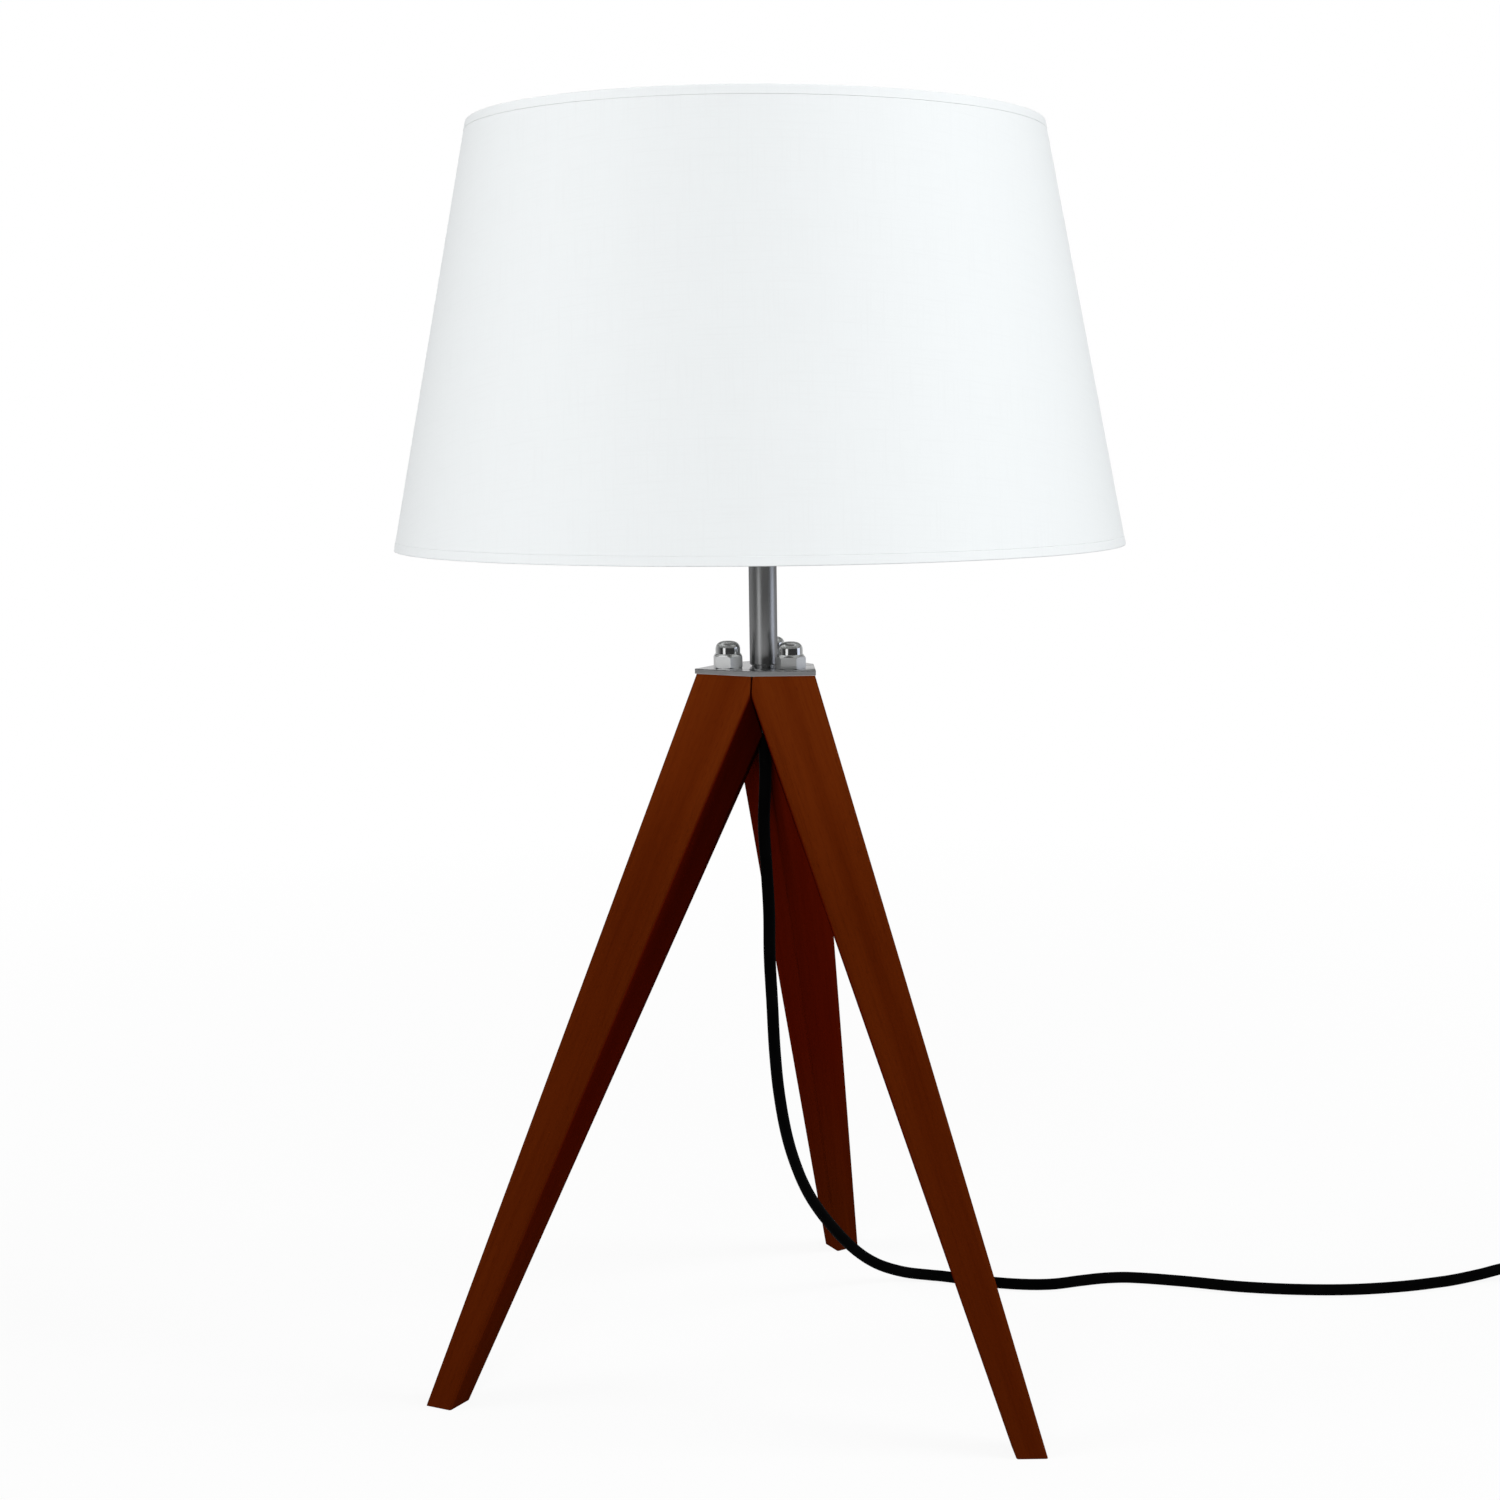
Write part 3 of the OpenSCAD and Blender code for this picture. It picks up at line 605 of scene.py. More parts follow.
def covered(name: str, rings: Sequence[Sequence[Vector]], sharp: float, loop: bool = True) -> Mesh:
    """Make a closed mesh from a row of rings.

    Args:
        name: The mesh's name.
        rings: Its rings, as skin takes them.
        sharp: Least angle in degrees of an edge that stays sharp.
        loop: Whether the last ring meets the first.

    Returns:
        The mesh.
    """
    bm = bmesh.new()
    skin(bm, rings, loop)
    return finished(bm, name, sharp)


def circle(r: float, z: float, steps: int = 72) -> list[Vector]:
    """Make a level circle round the z axis.

    Args:
        r: Its radius.
        z: Its height.
        steps: Number of points.

    Returns:
        Its points, or its centre alone where the radius is 0.
    """
    if r < ON_AXIS:
        return [Vector((0, 0, z))]
    turns = (math.tau * k / steps for k in range(steps))
    return [Vector((r * math.cos(a), r * math.sin(a), z)) for a in turns]


def lathe(name: str, outline: Profile, steps: int = 96, sharp: float = 32) -> Mesh:
    """Turn a closed outline once round the z axis.

    Args:
        name: The mesh's name.
        outline: The outline's radii and heights, whose points at radius 0 are on the axis.
        steps: Number of steps round.
        sharp: Least angle in degrees of an edge that stays sharp.

    Returns:
        The closed mesh.
    """
    return covered(name, [circle(r, z, steps) for r, z in outline], sharp)


def hexagon(across: float, z: float, cut: float, steps: int = 72) -> list[Vector]:
    """Make a ring on a hexagonal bar under a turned chamfer.

    Args:
        across: Width of the hexagon across its flats.
        z: Height at which the chamfer leaves the flats' middle.
        cut: Height that the chamfer takes per length of radius, below 0 at a top edge.
        steps: Number of points, a multiple of 12.

    Returns:
        The ring, whose height follows the scalloped chamfer.
    """
    out = []
    for k in range(steps):
        a = math.tau * k / steps
        r = across / 2 / math.cos(a % (math.pi / 3) - math.pi / 6)
        out.append(Vector((r * math.cos(a), r * math.sin(a), z + (r - across / 2) * cut)))
    return out


def thread_rings(
    radius: float, depth: float, pitch: float, low: float, high: float, steps: int = 32, fine: int = 5
) -> list[list[Vector]]:
    """Make rings that follow a screw thread.

    Args:
        radius: Radius at the crests.
        depth: Depth of the thread.
        pitch: Height of one turn.
        low: Lowest height.
        high: Greatest height.
        steps: Number of points in a ring.
        fine: Number of rings in a turn of the thread.

    Returns:
        The rings, from low to high.
    """
    rings = []
    count = round((high - low) / pitch * fine)
    for i in range(count + 1):
        z = low + (high - low) * i / count
        fade = min(1.0, (z - low) / pitch, (high - z) / pitch)
        ring = []
        for k in range(steps):
            phase = (z / pitch - k / steps) % 1.0
            down = 1 - fade * (0.5 + 0.5 * math.cos(math.tau * phase))
            r, a = radius - depth * down, math.tau * k / steps
            ring.append(Vector((r * math.cos(a), r * math.sin(a), z)))
        rings.append(ring)
    return rings


def rounded_box(half: Sequence[float], round_off: float, centre: Vector) -> BMesh:
    """Make a box with rounded edges.

    Args:
        half: Half of its size along each axis.
        round_off: Width taken off at each edge.
        centre: Its centre.

    Returns:
        The box.
    """
    bm = bmesh.new()
    bmesh.ops.create_cube(bm, size=2)
    bmesh.ops.scale(bm, vec=half, verts=bm.verts)
    bmesh.ops.translate(bm, vec=centre, verts=bm.verts)
    bmesh.ops.bevel(bm, geom=bm.edges[:], offset=round_off, segments=2, profile=0.5, affect="EDGES")
    return bm


def softened(
    node: str, name: str, width: float, least: float = 0.0, angle: float = 40, sharp: float = 30
) -> Mesh:
    """Copy a CAD node, merge it and round its sharp edges.

    Args:
        node: The node to copy.
        name: Name of the new mesh.
        width: Width taken off at each side of an edge.
        least: Least length of an edge that is rounded.
        angle: Least angle in degrees of an edge that is rounded.
        sharp: Least angle in degrees of an edge that stays sharp in the result.

    Returns:
        The rounded copy.
    """
    bm = bmesh.new()
    bm.from_mesh(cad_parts[node].data)
    bmesh.ops.remove_doubles(bm, verts=bm.verts, dist=2e-6)
    bmesh.ops.recalc_face_normals(bm, faces=bm.faces)
    bmesh.ops.dissolve_limit(bm, angle_limit=math.radians(0.4), verts=bm.verts, edges=bm.edges)
    edges = [
        e for e in bm.edges
        if len(e.link_faces) == 2 and e.calc_length() >= least
        and e.calc_face_angle(0) > math.radians(angle)
    ]
    bmesh.ops.bevel(
        bm, geom=edges, offset=width, offset_type="OFFSET", segments=2, profile=0.5,
        affect="EDGES", clamp_overlap=True,
    )
    return finished(bm, name, sharp)


class Growth(Tree):
    """A Geometry Nodes tree with named inputs, whose result becomes a plain mesh."""

    def __init__(self, name: str) -> None:
        """Start a tree with the inputs that every one has.

        Args:
            name: The tree's name.
        """
        super().__init__(bpy.data.node_groups.new(name, "GeometryNodeTree"))
        self.start = self.tree.nodes.new("NodeGroupInput")
        self.keys: dict[str, str] = {}
        self.part = self.input("Part", "NodeSocketGeometry")
        self.material = self.input("Material", "NodeSocketMaterial")
        self.count = self.input("Count", "NodeSocketInt")
        self.step = self.input("Step", "NodeSocketVector")
        self.first = self.input("First turn", "NodeSocketFloat")
        self.turn = self.input("Turn", "NodeSocketFloat")

    def input(self, name: str, kind: str) -> Socket:
        """Add a named input.

        Args:
            name: Its name.
            kind: The socket's type.

        Returns:
            Its socket inside the tree.
        """
        item = self.tree.interface.new_socket(name, in_out="INPUT", socket_type=kind)
        self.keys[name] = item.identifier
        return self.start.outputs[name]

    def repeat(self, part: Socket) -> None:
        """End the tree with real copies of a part, in one material.

        Args:
            part: The part; each copy is a step on and a turn round the z axis from the last.
        """
        inputs = {"Count": self.count, "Offset": self.step}
        points = self.add("GeometryNodeMeshLine", inputs, mode="OFFSET")
        index = self.add("GeometryNodeInputIndex", {})
        inputs = {0: index, 1: self.turn, 2: self.first}
        angle = self.add("ShaderNodeMath", inputs, operation="MULTIPLY_ADD")
        way = self.add("FunctionNodeEulerToRotation", {0: self.add("ShaderNodeCombineXYZ", {"Z": angle})})
        inputs = {"Points": points, "Instance": part, "Rotation": way}
        real = self.add("GeometryNodeRealizeInstances", {0: self.add("GeometryNodeInstanceOnPoints", inputs)})
        dressed = self.add("GeometryNodeSetMaterial", {"Geometry": real, "Material": self.material})
        self.tree.interface.new_socket("Result", in_out="OUTPUT", socket_type="NodeSocketGeometry")
        self.tree.links.new(dressed, self.tree.nodes.new("NodeGroupOutput").inputs[0])

    def grow(self, name: str, part: Mesh, finish: Finish, **values: float | Place) -> Mesh:
        """Run the tree on a part.

        Args:
            name: Name of the new mesh.
            part: The mesh that the tree starts from.
            finish: The finish of the result.
            **values: The tree's other inputs, with _ for a space in a name.

        Returns:
            The plain mesh.
        """
        host = bpy.data.objects.new(name, part)
        bpy.context.scene.collection.objects.link(host)
        modifier = host.modifiers.new(name, "NODES")
        modifier.node_group = self.tree
        modifier[self.keys["Material"]] = finish.material
        for key, value in values.items():
            modifier[self.keys[key.replace("_", " ")]] = value
        graph = bpy.context.evaluated_depsgraph_get()
        mesh = bpy.data.meshes.new_from_object(host.evaluated_get(graph), depsgraph=graph)
        bpy.data.objects.remove(host)
        mesh.name = name
        return mesh


class Repeat(Growth):
    """Copies of a part, each a step on and a turn round the z axis from the one before."""

    def __init__(self) -> None:
        """Build the tree."""
        super().__init__("repeat")
        self.repeat(self.part)


class Sweep(Growth):
    """A wire bent along a line of points, repeated round the z axis."""

    def __init__(self) -> None:
        """Build the tree."""
        super().__init__("sweep")
        radius = self.input("Wire radius", "NodeSocketFloat")
        bend = self.input("Bend radius", "NodeSocketFloat")
        line = self.add("GeometryNodeMeshToCurve", {0: self.part})
        inputs = {"Curve": line, "Radius": bend, "Count": 10, "Limit Radius": True}
        bent = self.add("GeometryNodeFilletCurve", inputs, mode="POLY")
        ring = self.add("GeometryNodeCurvePrimitiveCircle", {"Resolution": 20, "Radius": radius})
        inputs = {"Curve": bent, "Profile Curve": ring, "Fill Caps": True}
        wire = self.add("GeometryNodeCurveToMesh", inputs)
        self.repeat(self.add("GeometryNodeSetShadeSmooth", {"Geometry": wire}))


# Camera, floor, light


@dataclass
class Studio:
    """Camera at the photograph's viewing point, pale floor, plain soft light."""

    camera_place: Place = (0.0, -1.1078, 0.4699)
    pitch_down: float = math.radians(8.085)
    yaw: float = math.radians(2.400)
    roll: float = math.radians(-0.414)
    focal_px: float = 2278.7
    shift_px: float = -109.5
    frame_px: float = 1500.0
    sensor: float = 36.0
    clip: tuple = (0.02, 60)
    floor_radius: float = 1.6
    floor_plain: float = 0.45
    floor_bounce: float = 0.22
    floor_seen: float = 0.9
    floor_glow: float = 0.90
    ambient: float = 0.32
    gloss_ahead: float = 0.04
    gloss_behind: float = 0.62
    gloss_range: tuple = (-0.40, 0.98)
    aim: Place = (0.0, 0.0, 0.34)

    def camera(self) -> None:
        """Place the camera."""
        cos, sin = math.cos, math.sin
        level_out = cos(self.pitch_down)
        ahead = Vector((sin(self.yaw) * level_out, cos(self.yaw) * level_out, -sin(self.pitch_down)))
        right = Vector((cos(self.yaw), -sin(self.yaw), 0))
        up = right.cross(ahead)
        level = right * cos(self.roll) + up * sin(self.roll)
        top = up * cos(self.roll) - right * sin(self.roll)
        data = bpy.data.cameras.new("camera")
        data.sensor_width = self.sensor
        data.lens = self.focal_px / self.frame_px * self.sensor
        data.shift_x = self.shift_px / self.frame_px
        data.clip_start, data.clip_end = self.clip
        eye = bpy.data.objects.new("camera", data)
        turn = Matrix((level, top, -ahead)).transposed().to_4x4()
        eye.matrix_world = Matrix.Translation(self.camera_place) @ turn
        bpy.context.scene.collection.objects.link(eye)
        bpy.context.scene.camera = eye

    def rays(self, bench: Bench, *names: str) -> Socket:
        """Tell rays apart.

        Args:
            bench: The bench to work on.
            *names: Kinds of rays.

        Returns:
            1 for rays of any of the kinds, else 0.
        """
        kinds = bench.node("ShaderNodeLightPath", {}).outputs
        total = kinds[names[0]]
        for name in names[1:]:
            inputs = {0: total, 1: kinds[name]}
            total = bench.add("ShaderNodeMath", inputs, operation="ADD", use_clamp=True)
        return total

    def world(self) -> None:
        """Make the surroundings white in the picture and plain soft light elsewhere.

        Gloss sees a bright studio behind the lamp and a dim one on the camera's side.
        """
        world = bpy.data.worlds.new("surroundings")
        bpy.context.scene.world = world
        bench = Bench(world)
        bench.tree.nodes.clear()
        ahead = bench.axis(bench.node("ShaderNodeTexCoord", {}).outputs["Generated"], "Y")
        dim = bench.spread(ahead, *self.gloss_range, self.gloss_ahead, self.gloss_behind)
        gloss = bench.maths("MULTIPLY", dim, self.rays(bench, "Is Glossy Ray"))
        seen = self.rays(bench, "Is Camera Ray", "Is Transmission Ray")
        told = self.rays(bench, "Is Glossy Ray", "Is Camera Ray", "Is Transmission Ray")
        soft = bench.maths("MULTIPLY", bench.maths("SUBTRACT", 1.0, told), self.ambient)
        total = bench.maths("ADD", bench.maths("ADD", gloss, seen), soft)
        sky = bench.add("ShaderNodeBackground", {"Color": (1, 1, 1, 1), "Strength": total})
        bench.node("ShaderNodeOutputWorld", {0: sky})

    def floor(self) -> None:
        """Lay the pale floor, which keeps the lamp's shadow and fades to white around it."""
        bm = bmesh.new()
        bmesh.ops.create_circle(bm, cap_ends=True, radius=self.floor_radius, segments=96)
        floor = bpy.data.objects.new("floor", finished(bm, "floor"))
        bpy.context.scene.collection.objects.link(floor)
        material = bpy.data.materials.new("pale_floor")
        bench = Bench(material)
        seen = self.rays(bench, "Is Camera Ray", "Is Glossy Ray", "Is Transmission Ray")
        place = bench.node("ShaderNodeTexCoord", {}).outputs["Object"]
        out = bench.node("ShaderNodeVectorMath", {0: place}, operation="LENGTH").outputs["Value"]
        fade = bench.spread(out, self.floor_plain, self.floor_radius * 0.95, self.floor_glow, 1.0)
        tone = bench.blend(seen, (self.floor_bounce,) * 3, (self.floor_seen,) * 3)
        bench.set(base_color=tone, roughness=0.9, specular_ior_level=0.0)
        plain = bench.tree.nodes["Principled BSDF"].outputs[0]
        glow = bench.add("ShaderNodeEmission", {"Color": (1, 1, 1, 1), "Strength": 1.0})
        share = bench.maths("MULTIPLY", seen, fade)
        mix = bench.add("ShaderNodeMixShader", {0: share, 1: plain, 2: glow})
        bench.tree.links.new(mix, bench.tree.nodes["Material Output"].inputs[0])
        floor.data.materials.append(material)

    def lamp(
        self, name: str, way: Place, size: tuple[float, float], level: float,
        tint: Colour = (1, 1, 1), gloss: bool = False,
    ) -> None:
        """Hang one soft lamp that looks at the middle of the lamp.

        Args:
            name: Its name.
            way: Azimuth and elevation in degrees and distance of its middle.
            size: Its width and height.
            level: Light that it gives where it falls straight on the lamp.
            tint: Its colour.
            gloss: Whether only gloss sees it, or all but gloss.
        """
        turn, rise, far = math.radians(way[0]), math.radians(way[1]), way[2]
        out = Vector((math.cos(turn) * math.cos(rise), math.sin(turn) * math.cos(rise), math.sin(rise)))
        data = bpy.data.lights.new(name, "AREA")
        data.shape, data.size, data.size_y = "RECTANGLE", *size
        data.energy, data.color = level * math.pi ** 2 * far ** 2, tint
        obj = bpy.data.objects.new(name, data)
        turned = (-out).to_track_quat("-Z", "Y").to_matrix().to_4x4()
        obj.matrix_world = Matrix.Translation(self.aim) @ Matrix.Translation(out * far) @ turned
        obj.visible_diffuse, obj.visible_glossy = not gloss, gloss
        bpy.context.scene.collection.objects.link(obj)

    def build(self) -> None:
        """Set up the camera, floor, world, three soft lamps and two strips for the metal."""
        self.camera()
        self.world()
        self.floor()
        self.lamp("key", way=(257, 12, 4.2), size=(1.8, 1.6), level=0.55)
        self.lamp("left", way=(188, 28, 4.0), size=(1.6, 1.6), level=0.35)
        self.lamp("right", way=(352, 28, 4.0), size=(1.6, 1.6), level=0.66, tint=(0.985, 0.995, 1.0))
        self.lamp("strip_left", way=(236, 11, 2.4), size=(0.95, 2.0), level=0.107, gloss=True)
        blue = (0.78, 0.84, 1.0)
        self.lamp("strip_right", way=(353, 11, 2.4), size=(1.35, 2.0), level=0.155, tint=blue, gloss=True)
        bpy.context.scene.view_settings.view_transform = "Standard"
        log.info("studio is set up")


# Legs


@dataclass
class Tripod:
    """Three tapered square legs, mitred together corner outwards, each with a stud."""

    height: float = 352 * MM
    top_out: float = 9.4 * MM
    foot_out: float = 165 * MM
    edge_round: float = 0.28 * MM
    least_edge: float = 4 * MM
    grain_start: float = 0.37
    grain_step: float = 0.21
    leg_order: tuple = (("leg_rear", 0), ("leg_right", -1), ("leg_left", 1))

    def mark_grain(self, mesh: Mesh, turn: float, shift: float) -> None:
        """Store where each point lies across and along its leg, and how far outside.

        Args:
            mesh: The leg's mesh.
            turn: The leg's direction, turned from +X.
            shift: Distance that tells its grain from the other legs' grain.
        """
        out = Vector((math.cos(turn), math.sin(turn), 0))
        foot = out * self.foot_out
        along = (out * self.top_out + Vector((0, 0, self.height)) - foot).normalized()
        side = Vector((-math.sin(turn), math.cos(turn), 0))
        front = along.cross(side)
        mesh.attributes.new(Source.GRAIN.value, "FLOAT_VECTOR", "POINT")
        mesh.attributes.new(WOOD.outside, "FLOAT", "POINT")
        place, outside = (mesh.attributes[name].data for name in (Source.GRAIN.value, WOOD.outside))
        for vertex in mesh.vertices:
            p = vertex.co - foot
            across, deep, up = p.dot(side), p.dot(front), p.dot(along)
            place[vertex.index].vector = (across + shift, deep + shift / 2, up + shift * 3)
            outside[vertex.index].value = -deep

    def build(self) -> None:
        """Build the legs and dress their studs."""
        for name, order in self.leg_order:
            mesh = softened(name, name + "_wood", self.edge_round, self.least_edge, angle=20, sharp=25)
            turn, shift = REAR_LEG + order * math.tau / 3, self.grain_start + self.grain_step * order
            self.mark_grain(mesh, turn, shift)
            show(mesh, WOOD, name)
        dress_node("leg_studs", ZINC)


# Plate, nuts and column


@dataclass
class Crown:
    """The plate on the mitred tops, its three cap nuts, the column and its tube."""

    plate_top: float = 354.5 * MM
    plate_round: float = 0.12 * MM
    stud_out: float = 18 * MM
    nut_turns: tuple = (math.radians(15), math.radians(24), math.radians(36))
    nut_across: float = 13 * MM
    nut_hex: float = 6.7 * MM
    nut_chamfer: float = 1.35
    nut_shoulder: float = 0.3 * MM
    nut_foot: float = 0.4
    dome_radius: float = 6 * MM
    dome_height: float = 6.3 * MM
    dome_wall: float = 0.3
    dome_power: float = 0.78
    dome_steps: int = 16
    stud_bore: float = 4.05 * MM
    bore_edge: float = 0.4 * MM
    column_top: float = 416 * MM
    column_radius: float = 6.8 * MM
    column_bore: float = 5.5 * MM
    groove: float = 1 * MM
    groove_height: float = 0.8 * MM
    tube_radius: float = 5 * MM
    tube_bore: float = 3.7 * MM
    tube_low: float = 338 * MM
    tube_top: float = 426 * MM
    tube_pitch: float = 1 * MM
    tube_thread: float = 0.45 * MM
    washer_low: float = 350.5 * MM
    washer_top: float = 352 * MM
    washer_radius: float = 10 * MM
    tube_nut_low: float = 346 * MM
    tube_nut_across: float = 14 * MM

    def cap_nut(self) -> list[list[Vector]]:
        """Make one cap nut that stands on the floor round the z axis.

        Returns:
            Its rings, up its outside and down its bore.
        """
        half, top, base, bore = self.nut_across / 2, self.nut_hex, self.dome_radius, self.stud_bore
        rings = [
            circle(half - 0.1 * MM, 0), hexagon(self.nut_across, 0, self.nut_foot),
            hexagon(self.nut_across, top - self.nut_shoulder, -self.nut_chamfer),
            circle(half - 0.2 * MM, top + 0.04 * MM), circle(base + 0.1 * MM, top + 0.02 * MM),
            circle(base, top + 0.12 * MM),
        ]
        spring = top + self.dome_height * self.dome_wall
        rise = top + self.dome_height - spring
        for k in range(self.dome_steps + 1):
            a = math.pi / 2 * k / self.dome_steps
            out, up = math.cos(a) ** self.dome_power, math.sin(a) ** self.dome_power
            rings.append(circle(base * out, spring + rise * up))
        roof = top + self.dome_height / 3
        rings += [circle(0, roof + self.bore_edge), circle(bore, roof)]
        return rings + [circle(bore, self.bore_edge), circle(bore + self.bore_edge, 0)]

    def cap_nuts(self) -> Mesh:
        """Put the three cap nuts in their places, each screwed down to its own turn.

        Returns:
            Their mesh.
        """
        bm = bmesh.new()
        rings = self.cap_nut()
        for k, turn in enumerate(self.nut_turns):
            leg = REAR_LEG + math.tau * k / 3
            out = Matrix.Rotation(leg, 4, "Z") @ Matrix.Translation((self.stud_out, 0, self.plate_top))
            place = out @ Matrix.Rotation(turn, 4, "Z")
            skin(bm, [[place @ p for p in ring] for ring in rings])
        return finished(bm, "cap_nuts_domed", 24)

    def hex_nut(self) -> Mesh:
        """Make the nut under the plate, with its thread's bore.

        Returns:
            Its mesh.
        """
        low, high, across, edge = self.tube_nut_low, self.washer_low, self.tube_nut_across, 0.5 * MM
        face, bore = across / 2 - 0.2 * MM, self.tube_radius + 0.05 * MM
        rings = [circle(face, low), hexagon(across, low, self.nut_foot)]
        rings += [hexagon(across, high, -self.nut_foot), circle(face, high)]
        rings += [circle(bore + edge, high), circle(bore, high - edge)]
        rings += [circle(bore, low + edge), circle(bore + edge, low)]
        return covered("tube_nut_hex", rings, 24)

    def tube(self) -> Mesh:
        """Make the threaded tube.

        Returns:
            Its mesh.
        """
        thread = (self.tube_radius, self.tube_thread, self.tube_pitch)
        rings = thread_rings(*thread, self.tube_low, self.tube_top)
        inner = [circle(self.tube_bore, z, 32) for z in (self.tube_top, self.tube_low)]
        return covered("threaded_tube_m10", rings + inner, 50)

    def column(self) -> Mesh:
        """Make the column, with the groove at its foot.

        Returns:
            Its mesh.
        """
        r, low, rise, slope = self.column_radius, self.plate_top, self.groove_height, 0.4 * MM
        inner = r - self.groove
        outline = [
            (self.column_bore, low), (inner, low), (inner, low + rise), (r - slope, low + rise),
            (r, low + rise + slope), (r, self.column_top), (self.column_bore, self.column_top),
        ]
        return lathe("column_turned", rounded(outline, 0.15 * MM), 128)

    def washer(self) -> Mesh:
        """Make the washer between the plate and its nut.

        Returns:
            Its mesh.
        """
        low, high, bore, r = self.washer_low, self.washer_top, self.tube_radius + 0.2 * MM, self.washer_radius
        outline = [(bore, low), (r, low), (r, high), (bore, high)]
        return lathe("tube_washer_round", rounded(outline, 0.3 * MM), 72)

    def build(self) -> None:
        """Build the plate, nuts, column and tube."""
        plate = softened("top_plate", "plate_hexagon", self.plate_round, 1.5 * MM, sharp=25)
        show(plate, PLATE_METAL, "top_plate")
        show(self.cap_nuts(), NUT_METAL, "cap_nuts")
        show(self.column(), COLUMN_METAL, "column_tube")
        show(self.tube(), ZINC, "threaded_tube")
        show(self.hex_nut(), ZINC, "tube_nut")
        show(self.washer(), ZINC, "tube_washer")


# Lampholder


@dataclass
class Lampholder:
    """Cap, ribbed body, ceramic core, screw shell, contacts and the ring on the carrier."""

    cap_low: float = 416 * MM
    body_radius: float = 19.5 * MM
    neck_radius: float = 8 * MM
    neck_height: float = 8 * MM
    cap_height: float = 22 * MM
    cap_steps: int = 18
    wall: float = 2.2 * MM
    tube_bore: float = 5.05 * MM
    tube_depth: float = 9.95 * MM
    shell_low: float = 451 * MM
    shell_high: float = 474 * MM
    shell_radius: float = 14 * MM
    shell_wall: float = 0.4 * MM
    shell_thread: float = 0.95 * MM
    shell_pitch: float = 3.63 * MM
    rib_count: int = 36
    rib_half: Place = (0.5 * MM, 0.55 * MM, 3.2 * MM)
    rib_level: float = 442.6 * MM
    edge_round: float = 0.2 * MM

    def cap(self) -> Mesh:
        """Make the bell-shaped cap, with its threaded neck.

        Returns:
            Its mesh.
        """
        n, r, low, high = self.neck_radius, self.body_radius, self.cap_low, self.cap_low + self.cap_height
        bend = self.cap_height - self.neck_height - 5 * MM
        edge, neck_top = 0.5 * MM, low + self.neck_height - MM
        outer = [(self.tube_bore, low), (n - edge, low), (n, low + edge), (n, neck_top)]
        inner = []
        for k in range(self.cap_steps + 1):
            a = math.pi / 2 * k / self.cap_steps
            outer.append((n + (r - n) * math.sin(a), high - 4 * MM - bend * math.cos(a)))
            x = n + (r - self.wall - n) * math.sin(a) - MM
            inner.append((x, high - 2.4 * MM - bend * math.cos(a)))
        outer += [(r, high - 0.3 * MM), (r - 0.3 * MM, high), (r - self.wall, high)]
        return lathe("holder_cap_bell", outer + inner[::-1] + [(self.tube_bore, low + self.tube_depth)])

    def shell(self) -> Mesh:
        """Make the screw shell, rolled from thin sheet with a round thread.

        Returns:
            Its mesh.
        """
        outer, inner = (
            thread_rings(r, self.shell_thread, self.shell_pitch, self.shell_low, self.shell_high, 64, 12)
            for r in (self.shell_radius, self.shell_radius - self.shell_wall)
        )
        return covered("screw_shell_rolled", outer + inner[::-1], 50)

    def ribs(self) -> Mesh:
        """Make the ribs round the body.

        Returns:
            Their mesh.
        """
        place = Vector((self.body_radius, 0, self.rib_level))
        rib = finished(rounded_box(self.rib_half, 0.25 * MM, place), "rib", 60)
        return Repeat().grow(
            "holder_grip_ribs", rib, WHITE_PLASTIC, Count=self.rib_count, Turn=math.tau / self.rib_count,
        )

    def build(self) -> None:
        """Build the lampholder."""
        show(self.cap(), WHITE_PLASTIC, "holder_cap")
        show(softened("holder_body", "holder_body_slotted", self.edge_round), WHITE_PLASTIC, "holder_body")
        show(self.ribs(), WHITE_PLASTIC)
        show(softened("holder_core", "ceramic_core", self.edge_round), CERAMIC, "holder_core")
        show(self.shell(), BRASS, "screw_shell")
        show(softened("shade_ring", "grip_ring", self.edge_round), WHITE_PLASTIC, "shade_ring")
        for node in ("centre_contact", "side_contact"):
            show(softened(node, node + "_strip", 0.08 * MM), BRASS, node)


# Shade


